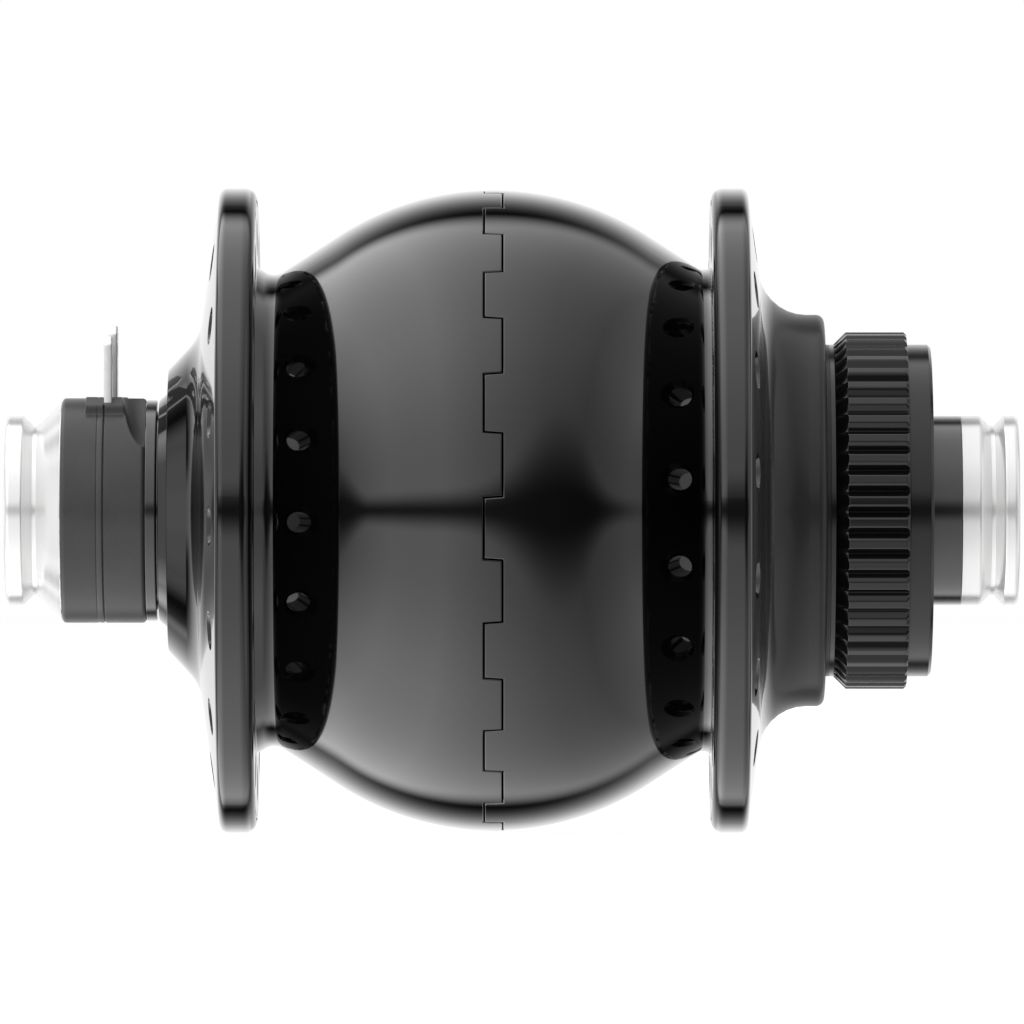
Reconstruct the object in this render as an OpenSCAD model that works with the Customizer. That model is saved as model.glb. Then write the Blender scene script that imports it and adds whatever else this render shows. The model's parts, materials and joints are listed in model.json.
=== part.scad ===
// Front hub dynamo for a disc-brake wheel. A claw-pole generator sits inside a
// ball-shaped hub shell of two halves that interlock at a toothed seam.
// The axle lies along Y with the disc side at +Y, the terminals stand up along +Z,
// and the origin is on the axle midway between the two end faces.

/* [Axle] */
// Width over the two end faces
hub_w = 100; // [90:0.5:112]
// Bore for the through axle
axle_bore_d = 12.2; // [12.1:0.05:12.6]
// Diameter of the bearing journals, which is the bearing bore
journal_d = 17; // [15.4:0.1:18.6]
// Diameter of the axle between the bearings
axle_mid_d = 19; // [17.8:0.1:21]
// Diameter of the shoulder that the stator is clamped against
stator_collar_d = 25; // [23:0.5:28]
// Thickness of that shoulder
stator_collar_t = 2; // [1:0.1:4]
// Wall of the axle round the end-cap spigots
spigot_cover = 1.3; // [1.1:0.05:1.6]
// Length of the end-cap spigots
spigot_len = 3.6; // [2.4:0.1:3.8]
// Thickness of the end-cap O-rings
cap_seal_t = 0.7; // [0.5:0.05:0.9]

/* [End caps] */
// Width of the left cap's rim
left_rim_w = 1.7; // [1.4:0.1:2.4]
// Width of the right cap's rim
right_rim_w = 1.4; // [1:0.1:2]
// Depth of the grip groove
cap_groove_depth = 1; // [0.8:0.05:1.2]
// Width of the groove's floor
cap_groove_w = 0.4; // [0.2:0.05:0.5]
// Step from the terminal block's outside down to the left cap's flared foot
left_foot_step = 0.35; // [0.1:0.05:0.8]
// Width of the land between that foot's cone and the block
left_foot_land = 0.075; // [0.05:0.005:0.2]
// Width of the land between the right cap's groove and the spacer
right_cap_land = 1.875; // [1.2:0.025:2.4]
// Rounding of the rims' outer edges
cap_round = 0.5; // [0.2:0.05:0.8]
// Chamfer at the mouth of the axle bore
bore_chamfer = 0.5; // [0.2:0.1:0.9]

/* [Terminal block] */
// Outer diameter of the block
block_d = 22.2; // [21.2:0.1:24.6]
// Length of the block along the axle
block_len = 8.3; // [7.5:0.1:9.2]
// Length of its outer half, up to the parting line
block_split = 4; // [3.7:0.1:4.4]
// Rounding of the block's edges
block_round = 0.4; // [0.1:0.05:0.6]
// Chamfer along the parting line
parting_chamfer = 0.12; // [0.05:0.01:0.2]
// Height of the pad round the terminals
pad_h = 0.2; // [0.1:0.05:0.4]
// Half angle that the pad covers
pad_angle = 36; // [32:1:45]
// Reach of the pad outwards from the parting line
pad_out = 1.6; // [1:0.1:2.4]
// Reach of the pad inwards from the parting line
pad_in = 2.4; // [1.8:0.1:3]
// Depth of the thumb notch in the inner half
notch_depth = 1.1; // [0.6:0.1:1.4]
// Length of the thumb notch along the axle
notch_len = 2.2; // [1.6:0.1:2.6]
// Angle of the notch round the axle, from the top towards the front
notch_angle = 26; // [20:1:34]
// Lean of the notch's inner edge
notch_lean = 6; // [0:1:10]

/* [Terminals] */
// Width of a terminal blade
blade_w = 4.8; // [4:0.1:5]
// Thickness of a terminal blade
blade_t = 0.8; // [0.5:0.05:0.9]
// Gap between the two blades
blade_gap = 0.9; // [0.6:0.1:1.4]
// Height of the front blade's tip above the axle's centre
front_tip_r = 17.2; // [15.5:0.1:19]
// Height of the rear blade's tip above the axle's centre
rear_tip_r = 18.3; // [16:0.1:20]
// Distance from the parting line to the front blade
front_blade_in = 0.2; // [0.1:0.05:0.4]
// Distance from the parting line to the rear blade
rear_blade_in = 0.55; // [0.3:0.05:0.7]
// Diameter of the locking hole in a blade
blade_hole_d = 1.4; // [1:0.1:1.8]
// Cut-off at the blades' tip corners
blade_cut = 0.8; // [0.4:0.1:1.2]
// Bevel on the blades' tips
blade_bevel = 0.2; // [0.1:0.05:0.3]
// Height of the blades' feet above the journal
blade_foot = 0.8; // [0.6:0.1:1.2]
// Thickness of a lead wire
wire_d = 1; // [0.7:0.05:1.1]
// Distance between the two lead wires
wire_apart = 2.1; // [1.8:0.1:2.6]
// Depth of the lead wires below the journal's surface
wire_cover = 0.15; // [0.1:0.05:0.25]
// Bend radius of a lead wire
wire_bend = 1; // [0.8:0.1:1.3]
// Width of the lead groove in the axle
groove_w = 4.2; // [3.8:0.1:4.8]

/* [Left end] */
// Width of the dust ring's rim between the block and the shell
ring_w = 1.1; // [0.8:0.1:1.6]
// Wall of the dust ring's sleeve
sleeve_wall = 1.3; // [1:0.1:1.6]
// Thickness of the shell's lip at its left mouth
lip_t = 0.8; // [0.6:0.05:1.2]
// Length of that lip along the axle
lip_len = 1.6; // [1.2:0.1:2]
// Length of the small cone at the left mouth
mouth_cone_len = 0.9; // [0.5:0.1:1.2]
// Growth in radius over that cone
mouth_cone_rise = 0.8; // [0.4:0.1:1.2]
// Diameter of the step face behind the cone
left_step_d = 27.8; // [26.6:0.1:29]
// Rounding of the step's edge
step_round = 0.2; // [0.1:0.05:0.4]
// Distance from the flange's rim to the left mouth
left_neck_len = 6.05; // [5.8:0.01:7.5]
// Slope of the left neck from the axle
left_neck_slope = 47; // [42:1:52]
// Blend between the left neck and its flange
left_neck_blend = 5; // [2:0.5:6]

/* [Flanges] */
// Thickness of both flange rims
flange_w = 3.55; // [3:0.05:4]
// Draft of the flanges' outer faces
face_draft = 8; // [5:0.5:9]
// Draft of the flanges' inner faces
inner_draft = 0.5; // [0:0.5:3]
// Rounding of the flange rims
flange_round = 0.7; // [0.2:0.1:1]
// Spoke holes in each flange
spoke_count = 16; // [14:1:18]
// Distance from the flanges' rims to the spoke-hole circle
spoke_edge = 4.85; // [4:0.05:5.4]
// Distance from the spoke-hole circle to the ball's neck at the flanges
spoke_in = 3.91; // [3.4:0.01:4.8]
// Diameter of a spoke hole
spoke_hole_d = 2.6; // [2.3:0.1:3]
// Diameter of a spoke hole's countersink
spoke_sink_d = 3.8; // [3.2:0.1:4.4]
// Turn of the left flange's holes round the axle
left_spoke_turn = 3.2; // [-11:0.1:11]
// Turn of the right flange's holes round the axle
right_spoke_turn = -8; // [-11:0.1:11]

/* [Ball shell] */
// Largest diameter of the ball
ball_d = 63.3; // [57:0.1:70.8]
// Radius of the ball's curve along the axle
ball_curve_r = 28.1; // [27:0.1:29.5]
// Distance of the ball's middle from the middle between the flanges, towards the disc
ball_shift = 0.945; // [0:0.005:1.6]
// Half angle of the ball's curve before it runs straight to the necks
ball_half_angle = 33; // [32:0.5:36]
// Wall of the necks beside the bearings
neck_wall = 2.3; // [1.8:0.1:2.8]
// Distance from the spoke-hole circle to the edge of the valley beside each flange
valley_in = 2.95; // [2.4:0.05:3.2]
// Slope of that valley's side from the axle
valley_slope = 32; // [28:1:40]
// Rounding of the left valley's bottom
left_valley_blend = 1.6; // [0.8:0.1:2]
// Rounding of the right valley's bottom
right_valley_blend = 1.2; // [0.6:0.1:1.2]
// Teeth of each half at the seam
seam_teeth = 16; // [12:1:20]
// Length of the seam teeth along the axle
seam_depth = 1.95; // [1.4:0.05:2.6]
// Lean of the seam teeth's flanks
seam_lean = 4; // [0:0.5:8]
// Gap along the seam
seam_gap = 0.14; // [0.08:0.01:0.25]
// Turn of the left half's teeth round the axle
seam_turn = -8.1; // [-12:0.1:12]
// Wall of the right half's spigot under the seam
seam_spigot_t = 2.1; // [1.8:0.1:2.4]
// Reach of that spigot past the middle of the seam
seam_spigot_len = 4.2; // [3.8:0.1:5.5]
// Thickness of the seam's O-ring
seam_seal_t = 1.1; // [0.8:0.05:1.3]

/* [Disc side] */
// Distance from the right flange's rim to the shoulder's end
right_neck_len = 7.6; // [7:0.01:8.5]
// Diameter of the shoulder behind the rotor spline
shoulder_d = 38.7; // [37.5:0.1:41]
// Blend between the right flange and the shoulder
right_neck_blend = 4.7; // [3:0.1:5.4]
// Rounding of the shoulder's edge
shoulder_round = 0.8; // [0.3:0.1:1.2]
// Width of the undercut between the shoulder and the spline
undercut_w = 0.9; // [0.6:0.1:1.5]
// Step from the spline's tips down to the collar and the undercut
collar_step = 1.25; // [0.9:0.05:1.4]
// Length of the collar outside the spline
collar_len = 2.4; // [1.8:0.1:3.2]
// Chamfer on the collar's edge
collar_chamfer = 0.3; // [0.1:0.1:0.6]
// Tip diameter of the rotor spline
spline_d = 35.3; // [33:0.1:37.4]
// Depth of the rotor spline's gaps
spline_depth = 1.5; // [1.3:0.05:1.7]
// Length of the rotor spline
spline_len = 7.2; // [6:0.1:8]
// Teeth of the rotor spline
spline_teeth = 52; // [46:1:56]
// Width of the gap between two spline teeth
spline_gap = 1.25; // [1.1:0.01:1.35]
// Run-out of the gaps into the collar
spline_runout = 0.5; // [0.2:0.1:0.8]
// Chamfer at the spline's outer end
spline_chamfer = 0.25; // [0.1:0.05:0.5]
// Turn of the spline's gaps round the axle
spline_turn = 0.5; // [-3:0.1:3]
// Wall between the collar's outside and the lockring thread's bore
collar_wall = 1.9; // [1.6:0.05:2.4]
// Length of the spacer outside the collar
spacer_out = 3; // [2.4:0.1:3.6]
// Wall of the spacer
spacer_wall = 0.85; // [0.7:0.05:1.1]

/* [Bearings] */
// Outer diameter of both bearings
bearing_d = 30; // [29:0.1:31]
// Width of both bearings
bearing_w = 7; // [6.5:0.1:7.4]
// Diameter of the bearing balls
ball_bearing_d = 4; // [3.6:0.05:4.3]
// Balls in each bearing
bearing_balls = 11; // [9:1:12]
// Gap between each race's rim and the balls' pitch circle
race_land = 1.15; // [1:0.05:1.3]
// Clearance between balls and races
race_clear = 0.08; // [0.05:0.01:0.1]
// Width of the cages
cage_w = 5; // [4.7:0.1:5.2]
// Thickness of the bearing shields
shield_t = 0.4; // [0.3:0.05:0.5]
// Inset of the bearing shields
shield_inset = 0.2; // [0.1:0.05:0.3]
// Distance from the right flange's middle to its bearing's middle
right_bearing_in = 5.5; // [5:0.1:5.6]
// Wall that holds the right bearing and its seal
seat_wall = 2.5; // [2:0.1:3]
// Thickness of the circlips
circlip_t = 1; // [0.8:0.1:1.4]
// Depth of the circlip grooves
circlip_depth = 0.9; // [0.6:0.1:1.2]
// Width of a circlip's hoop
circlip_hoop = 2; // [1.6:0.1:2.4]
// Opening between a circlip's ends
circlip_open = 40; // [25:1:60]
// Land between a circlip and the shell's web
circlip_land = 1.4; // [1:0.1:2]

/* [Generator] */
// Distance from the ball's surface to the iron yoke ring
yoke_in = 5.25; // [5:0.05:5.6]
// Thickness of the yoke ring
yoke_t = 2; // [1.6:0.1:2.4]
// Width of the yoke ring
yoke_w = 23; // [22.6:0.1:24]
// Thickness of the magnets
magnet_t = 2.3; // [1.8:0.1:2.8]
// Gap between neighbouring magnets
magnet_gap = 0.4; // [0.2:0.05:0.8]
// Poles round the generator
pole_count = 26; // [22:2:30]
// Air gap between magnets and claws
air_gap = 0.5; // [0.4:0.05:0.8]
// Width of the stator
stator_w = 22.4; // [20:0.1:22.6]
// Thickness of the claw plates
plate_t = 2; // [1.6:0.1:2.4]
// Thickness of the claws
claw_t = 1.8; // [1.4:0.1:2.2]
// Width of a claw at its root
claw_root_w = 4; // [3.4:0.1:4.2]
// Width of a claw at its tip
claw_tip_w = 2.6; // [2:0.1:3]
// Distance from a claw's tip to the outer face of the other plate
claw_short = 0.6; // [0.3:0.1:1.2]
// Wall of the iron core sleeve
core_wall = 1.5; // [1.2:0.1:2.2]
// Wall of the coil bobbin
bobbin_wall = 0.8; // [0.6:0.1:1.2]
// Gap between the bobbin and the claws
bobbin_clear = 0.7; // [0.4:0.1:1]
// Distance from the winding's outside to the bobbin's rim
winding_under = 0.6; // [0.3:0.1:1.2]
// Width of the stator nut
nut_w = 3; // [2:0.1:5]
// Diameter of the stator nut
nut_d = 28; // [25:0.5:31]
// Width of the spanner slots in the nut
nut_slot_w = 3; // [2:0.1:4]
// Depth of the spanner slots in the nut
nut_slot_depth = 1.5; // [1:0.1:2]

/* [Clearances] */
// Radial gap between pieces that are seated on each other
fit = 0.02; // [0.01:0.005:0.04]
// Gap between turning and standing pieces at the seals
run_gap = 0.3; // [0.25:0.01:0.4]
// Clearance of the lead wires in the claw plate
wire_clear = 0.08; // [0.04:0.02:0.2]
// Gap between the dust ring and the shell's mouth
mouth_gap = 0.2; // [0.15:0.01:0.3]

/* [Hidden] */
$fn = 96;
arc_steps = 6;
ball_steps = 24;
wire_fn = 24;
small_fn = 32;
ball_fn = 48;
past = 1;

// Colours of the finishes
anodised_black = [0.03, 0.03, 0.035];
satin_black = [0.07, 0.07, 0.075];
bare_aluminium = [0.86, 0.87, 0.88];
grey_plastic = [0.15, 0.15, 0.16];
tin = [0.8, 0.8, 0.8];
steel = [0.6, 0.61, 0.63];
iron = [0.4, 0.4, 0.42];
copper = [0.72, 0.4, 0.2];
rubber = [0.05, 0.05, 0.05];
nylon = [0.75, 0.7, 0.6];

// Radii of the axle and of what sits on it
bore_r = axle_bore_d / 2;
journal_r = journal_d / 2;
mid_r = axle_mid_d / 2;
spigot_r = journal_r - spigot_cover;
block_r = block_d / 2;
sleeve_r = journal_r + sleeve_wall;
spacer_r = journal_r + spacer_wall;
cap_r = spacer_r;
cap_floor_r = cap_r - cap_groove_depth;
foot_r = block_r - left_foot_step;

// Radii of the bearings
bearing_r = bearing_d / 2;
pitch_r = (journal_r + bearing_r) / 2;
inner_rim_r = pitch_r - race_land;
outer_rim_r = pitch_r + race_land;
bearing_ball_r = ball_bearing_d / 2;
seat_r = bearing_r + fit;
pocket_r = outer_rim_r - fit;

// Places along the axle, from the left end face inwards
left_end_y = -hub_w / 2;
left_floor_y = left_end_y + left_rim_w + cap_groove_depth;
left_foot_y = left_floor_y + cap_groove_w + foot_r - cap_floor_r;
block_out_y = left_foot_y + left_foot_land;
parting_y = block_out_y + block_split;
ring_out_y = block_out_y + block_len;
ring_in_y = ring_out_y + ring_w;
mouth_y = ring_in_y + mouth_gap;
step_y = mouth_y + mouth_cone_len;
left_rim_y = mouth_y + left_neck_len;
left_flange_y = left_rim_y + flange_w / 2;

// Places along the axle, from the right end face inwards
right_end_y = hub_w / 2;
right_floor_y = right_end_y - right_rim_w - cap_groove_depth;
right_land_y = right_floor_y - cap_groove_w - cap_groove_depth;
spacer_end_y = right_land_y - right_cap_land;
collar_end_y = spacer_end_y - spacer_out;
collar_y = collar_end_y - collar_len;
spline_y = collar_y - spline_len;
shoulder_y = spline_y - undercut_w;
right_rim_y = shoulder_y - right_neck_len;
right_flange_y = right_rim_y - flange_w / 2;
ball_y = (left_flange_y + right_flange_y) / 2 + ball_shift;

// Radii of the generator, from the yoke inwards
yoke_r = ball_d / 2 - yoke_in;
magnet_r = yoke_r - yoke_t - fit;
claw_r = magnet_r - magnet_t - air_gap;
core_r = mid_r + fit + core_wall;
bobbin_in_r = core_r + fit;
bobbin_r = claw_r - claw_t - bobbin_clear;

// Radii of the shell
ball_off = ball_d / 2 - ball_curve_r;
mouth_in_r = sleeve_r + run_gap;
mouth_r = mouth_in_r + lip_t;
left_neck_at = ball_y - left_flange_y - flange_w / 2;
right_neck_at = right_flange_y - flange_w / 2 - ball_y;
spoke_r = max(neck_at(left_neck_at), neck_at(right_neck_at)) + spoke_in;
flange_r = spoke_r + spoke_edge;
valley_r = spoke_r - valley_in;
yoke_seat_r = yoke_r + fit;
seam_spigot_r = yoke_seat_r + seam_spigot_t;
seam_bore_r = seam_spigot_r + fit;
seam_seal_r = seam_spigot_r - seam_seal_t + 2 * fit;
spline_r = spline_d / 2;
spline_root_r = spline_r - spline_depth;
collar_r = spline_r - collar_step;
thread_r = collar_r - collar_wall;

// Places of the bearings and the webs that hold them
left_seat_y = left_flange_y - bearing_w / 2;
left_race_y = left_seat_y + bearing_w;
left_web_y = left_race_y + circlip_t + fit + circlip_land;
right_seat_y = right_flange_y + right_bearing_in + bearing_w / 2;
right_race_y = right_seat_y - bearing_w;
right_web_y = right_race_y - circlip_t - fit - circlip_land;
left_pocket_y = mouth_y + lip_len;
right_pocket_y = right_seat_y + seat_wall;

// Places of the generator
stator_left_y = ball_y - stator_w / 2;
stator_right_y = ball_y + stator_w / 2;
yoke_left_y = ball_y - yoke_w / 2;
yoke_right_y = ball_y + yoke_w / 2;
yoke_hold_r = yoke_r - yoke_t;
seam_left_y = ball_y - seam_depth / 2;
seam_right_y = ball_y + seam_depth / 2;
seam_spigot_y = ball_y - seam_spigot_len;
seam_seal_y = (seam_spigot_y + seam_left_y) / 2;

// Route of the lead wires, as distances from the axle's centre and along it
wire_x = wire_apart / 2;
wire_r = journal_r - wire_d / 2 - wire_cover;
groove_floor_r = wire_r - wire_d / 2 - wire_cover;
blade_foot_r = journal_r + blade_foot;
wire_rise_y = stator_left_y - stator_collar_t - wire_d;
wire_coil_r = (stator_collar_d / 2 + bobbin_r) / 2;
wire_end_y = stator_left_y + plate_t + fit;

// Turns a shape drawn along Z so that it lies along the axle, with its angles
// counted from the front of the hub downwards
module along_axle() {
    rotate([-90, 0, 0]) children();
}

// Turns a shape drawn out along X so that it points up from the axle
module upwards() {
    rotate([0, 0, -90]) children();
}

function unit(v) = v / norm(v);

// Arc that rounds the corner b between its neighbours a and c with radius r
function round_corner(a, b, c, r) =
    r <= 0 ? [b] :
    let (
        u = unit(a - b),
        v = unit(c - b),
        half = acos(u * v) / 2,
        o = b + unit(u + v) * r / sin(half),
        p = b + u * r / tan(half) - o,
        q = b + v * r / tan(half) - o,
        start = atan2(p[1], p[0]),
        sweep = (atan2(q[1], q[0]) - start + 540) % 360 - 180
    )
    [for (i = [0:arc_steps]) let (t = start + sweep * i / arc_steps) o + r * [cos(t), sin(t)]];

// Outline whose corners [x, y, radius] are rounded, where a corner with no radius stays sharp
function rounded(corners) =
    let (n = len(corners), flat = [for (p = corners) [p[0], p[1]]])
    [for (i = [0:n - 1]) each round_corner(
        flat[(i + n - 1) % n], flat[i], flat[(i + 1) % n],
        len(corners[i]) > 2 ? corners[i][2] : 0)];

// Solid of revolution with the half section [radius, place, rounding]
module turned(corners) {
    rotate_extrude() polygon(rounded(corners));
}

// Plain ring between two radii and two places
module ring(r_in, r_out, y_low, y_high) {
    rotate_extrude() translate([r_in, y_low]) square([r_out - r_in, y_high - y_low]);
}

// Torus round the axle
module o_ring(r, t, y) {
    rotate_extrude() translate([r, y]) circle(d = t, $fn = small_fn);
}

// Copies spread evenly round the axle, the first one turned by an angle
module around(count, turn = 0) {
    for (i = [0:count - 1]) rotate([0, 0, turn + i * 360 / count]) children();
}

// Extrudes an outline drawn as [sideways, along the axle] outwards from a radius
module outwards(r_from, r_to) {
    translate([r_from, 0, 0]) rotate([90, 0, 90]) linear_extrude(r_to - r_from) children();
}

// Axle: journals, the stator's shoulder, the caps' seats and the groove for the leads
module axle() {
    seal_y = spigot_len / 2;
    color(steel) along_axle() difference() {
        turned([
            [spigot_r, block_out_y], [journal_r, block_out_y], [journal_r, left_race_y],
            [mid_r, left_race_y], [mid_r, stator_left_y - stator_collar_t],
            [stator_collar_d / 2, stator_left_y - stator_collar_t], [stator_collar_d / 2, stator_left_y],
            [mid_r, stator_left_y], [mid_r, right_race_y], [journal_r, right_race_y],
            [journal_r, spacer_end_y], [spigot_r, spacer_end_y], [spigot_r, spacer_end_y - spigot_len],
            [bore_r, spacer_end_y - spigot_len], [bore_r, block_out_y + spigot_len],
            [spigot_r, block_out_y + spigot_len],
        ]);
        for (y = [block_out_y + seal_y, spacer_end_y - seal_y])
            ring(bore_r, spigot_r + cap_seal_t, y - cap_seal_t / 2 - fit, y + cap_seal_t / 2 + fit);
        upwards() translate([groove_floor_r, -groove_w / 2, parting_y])
            cube([journal_r, groove_w, wire_rise_y + wire_d - parting_y]);
    }
}

// Spigot of an end cap, drawn from the cap's inner face to the right
module cap_spigot() {
    ring(bore_r, spigot_r - fit, -past / 2, spigot_len - fit);
}

// Left end cap: rim, grip groove and a foot that flares to the terminal block
module left_end_cap() {
    color(bare_aluminium) along_axle() {
        turned([
            [bore_r + bore_chamfer, left_end_y], [cap_r, left_end_y, cap_round],
            [cap_r, left_end_y + left_rim_w, cap_round / 2], [cap_floor_r, left_floor_y],
            [cap_floor_r, left_floor_y + cap_groove_w], [foot_r, left_foot_y], [foot_r, block_out_y],
            [bore_r, block_out_y], [bore_r, left_end_y + bore_chamfer],
        ]);
        translate([0, 0, block_out_y]) cap_spigot();
    }
}

// Right end cap: a land as wide as the spacer, the grip groove and the rim
module right_end_cap() {
    color(bare_aluminium) along_axle() {
        turned([
            [bore_r + bore_chamfer, right_end_y], [cap_r, right_end_y, cap_round],
            [cap_r, right_end_y - right_rim_w, cap_round / 2], [cap_floor_r, right_floor_y],
            [cap_floor_r, right_floor_y - cap_groove_w], [cap_r, right_land_y, cap_round],
            [cap_r, spacer_end_y],
            [bore_r, spacer_end_y], [bore_r, right_end_y - bore_chamfer],
        ]);
        translate([0, 0, spacer_end_y]) mirror([0, 0, 1]) cap_spigot();
    }
}

// O-rings that hold the two end caps in the axle
module cap_o_rings() {
    color(rubber) along_axle() for (y = [block_out_y + spigot_len / 2, spacer_end_y - spigot_len / 2])
        o_ring(spigot_r + cap_seal_t / 2, cap_seal_t - 2 * fit, y);
}

// Low pad on top of the terminal block between two places
module terminal_pad(y_low, y_high) {
    upwards() rotate([0, 0, -pad_angle]) rotate_extrude(angle = 2 * pad_angle)
        translate([block_r - past, y_low]) square([past + pad_h, y_high - y_low]);
}

// Outer half of the terminal block
module terminal_block_outer() {
    color(grey_plastic) along_axle() {
        turned([
            [journal_r + fit, block_out_y], [block_r, block_out_y, block_round],
            [block_r, parting_y - parting_chamfer], [block_r - parting_chamfer, parting_y],
            [journal_r + fit, parting_y],
        ]);
        terminal_pad(parting_y - pad_out, parting_y - parting_chamfer);
    }
}

// Space that a terminal blade takes in the block, drawn from its sideways middle
module blade_slot(y, side) {
    x_low = side * (blade_gap + blade_w) / 2 - blade_w / 2;
    upwards() translate([blade_foot_r - fit, x_low - fit, y - fit])
        cube([block_r, blade_w + 2 * fit, blade_t + 2 * fit]);
}

// Scoop for a thumb nail in the inner half's right edge
module thumb_notch() {
    floor_r = block_r - notch_depth;
    half_w = block_r * sin(acos(floor_r / block_r));
    upwards() rotate([0, 0, notch_angle])
        translate([floor_r + notch_len, 0, ring_out_y]) rotate([notch_lean, 0, 0]) union() {
            rotate([90, 0, 0]) cylinder(r = notch_len, h = 4 * half_w, center = true);
            translate([-notch_len, -2 * half_w, 0]) cube([2 * notch_len, 4 * half_w, notch_len]);
        }
}

// Inner half of the terminal block: blade slots, lead channel and thumb notch
module terminal_block_inner() {
    color(grey_plastic) along_axle() difference() {
        union() {
            turned([
                [journal_r + fit, parting_y], [block_r - parting_chamfer, parting_y],
                [block_r, parting_y + parting_chamfer], [block_r, ring_out_y, block_round],
                [journal_r + fit, ring_out_y],
            ]);
            terminal_pad(parting_y + parting_chamfer, parting_y + pad_in);
        }
        blade_slot(parting_y + front_blade_in, 1);
        blade_slot(parting_y + rear_blade_in, -1);
        upwards() translate([0, -groove_w / 2, parting_y - past])
            cube([blade_foot_r, groove_w, past + rear_blade_in + blade_t + wire_d]);
        thumb_notch();
    }
}

// Flat blade terminal with a bevelled tip, cut corners and a locking hole
module blade(y, side, tip_r) {
    len = tip_r - blade_foot_r;
    upwards() translate([blade_foot_r, side * (blade_gap + blade_w) / 2, y]) intersection() {
        linear_extrude(blade_t) difference() {
            polygon([
                [0, -blade_w / 2], [len - blade_cut, -blade_w / 2], [len, blade_cut - blade_w / 2],
                [len, blade_w / 2 - blade_cut], [len - blade_cut, blade_w / 2], [0, blade_w / 2],
            ]);
            translate([len - blade_w / 2, 0]) circle(d = blade_hole_d, $fn = small_fn);
        }
        translate([0, blade_w, 0]) rotate([90, 0, 0]) linear_extrude(2 * blade_w) polygon([
            [0, 0], [len - blade_bevel, 0], [len, blade_bevel],
            [len, blade_t - blade_bevel], [len - blade_bevel, blade_t], [0, blade_t],
        ]);
    }
}

// Terminal nearest the front
module front_terminal() {
    color(tin) along_axle() blade(parting_y + front_blade_in, 1, front_tip_r);
}

// Terminal behind it
module rear_terminal() {
    color(tin) along_axle() blade(parting_y + rear_blade_in, -1, rear_tip_r);
}

// Straight stretch of wire between two points
module wire_run(a, b) {
    d = b - a;
    translate(a) rotate([0, acos(d[2] / norm(d)), atan2(d[1], d[0])])
        cylinder(d = wire_d, h = norm(d), $fn = wire_fn);
}

// Right-angled bend of wire at a point, from one direction to the next
module wire_elbow(at, d_in, d_out) {
    x = -d_out;
    y = d_in;
    z = cross(x, y);
    c = at + wire_bend * (d_out - d_in);
    multmatrix([
        [x[0], y[0], z[0], c[0]],
        [x[1], y[1], z[1], c[1]],
        [x[2], y[2], z[2], c[2]],
        [0, 0, 0, 1],
    ]) rotate_extrude(angle = 90) translate([wire_bend, 0]) circle(d = wire_d, $fn = wire_fn);
}

// Lead from the coil through the axle's groove to the foot of one terminal
module lead(y, side) {
    points = [
        [blade_foot_r, side * wire_x, y + blade_t / 2], [wire_r, side * wire_x, y + blade_t / 2],
        [wire_r, side * wire_x, wire_rise_y], [wire_coil_r, side * wire_x, wire_rise_y],
        [wire_coil_r, side * wire_x, wire_end_y],
    ];
    last = len(points) - 1;
    upwards() for (i = [0:last - 1]) {
        d = unit(points[i + 1] - points[i]);
        from = points[i] + (i > 0 ? wire_bend : 0) * d;
        to = points[i + 1] - (i < last - 1 ? wire_bend : 0) * d;
        wire_run(from, to);
        if (i < last - 1) wire_elbow(points[i + 1], d, unit(points[i + 2] - points[i + 1]));
    }
}

// The two leads
module lead_wires() {
    color(copper) along_axle() {
        lead(parting_y + front_blade_in, 1);
        lead(parting_y + rear_blade_in, -1);
    }
}

// Dust ring: a rim beside the shell's mouth and a sleeve that clamps the left bearing
module dust_ring() {
    color(satin_black) along_axle() turned([
        [journal_r + fit, ring_out_y], [mouth_r, ring_out_y], [mouth_r, ring_in_y],
        [sleeve_r, ring_in_y], [sleeve_r, left_seat_y], [journal_r + fit, left_seat_y],
    ]);
}

// Spacer between the right bearing and the right end cap
module right_spacer() {
    color(satin_black) along_axle() ring(journal_r + fit, spacer_r, right_seat_y, spacer_end_y);
}

// Groove that the balls run in, as a torus to be cut out of a race
module raceway(y) {
    o_ring(pitch_r, ball_bearing_d + 2 * race_clear, y);
}

// Inner race of a bearing that starts at a place
module inner_race(y) {
    color(steel) along_axle() difference() {
        ring(journal_r + fit, inner_rim_r, y, y + bearing_w);
        raceway(y + bearing_w / 2);
    }
}

// Outer race of a bearing that starts at a place
module outer_race(y) {
    color(steel) along_axle() difference() {
        ring(outer_rim_r, bearing_r, y, y + bearing_w);
        raceway(y + bearing_w / 2);
    }
}

// Pair of shields inside an outer race
module shields(y) {
    color(rubber) along_axle() for (s = [y + shield_inset, y + bearing_w - shield_inset - shield_t])
        ring(inner_rim_r + race_clear, outer_rim_r - fit, s, s + shield_t);
}

// Balls of a bearing
module balls(y) {
    color(steel) along_axle() around(bearing_balls)
        translate([pitch_r, 0, y + bearing_w / 2]) sphere(r = bearing_ball_r, $fn = ball_fn);
}

// Cage that spaces the balls
module cage(y) {
    wall = race_land / 2;
    color(nylon) along_axle() difference() {
        ring(pitch_r - wall, pitch_r + wall, y + (bearing_w - cage_w) / 2, y + (bearing_w + cage_w) / 2);
        around(bearing_balls) translate([0, 0, y + bearing_w / 2])
            outwards(pitch_r - race_land, pitch_r + race_land)
                circle(r = bearing_ball_r + race_clear, $fn = ball_fn);
    }
}

module left_inner_race() {
    inner_race(left_seat_y);
}

module right_inner_race() {
    inner_race(right_race_y);
}

module left_outer_race() {
    outer_race(left_seat_y);
}

module right_outer_race() {
    outer_race(right_race_y);
}

module left_bearing_shields() {
    shields(left_seat_y);
}

module right_bearing_shields() {
    shields(right_race_y);
}

module left_balls() {
    balls(left_seat_y);
}

module right_balls() {
    balls(right_race_y);
}

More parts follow.
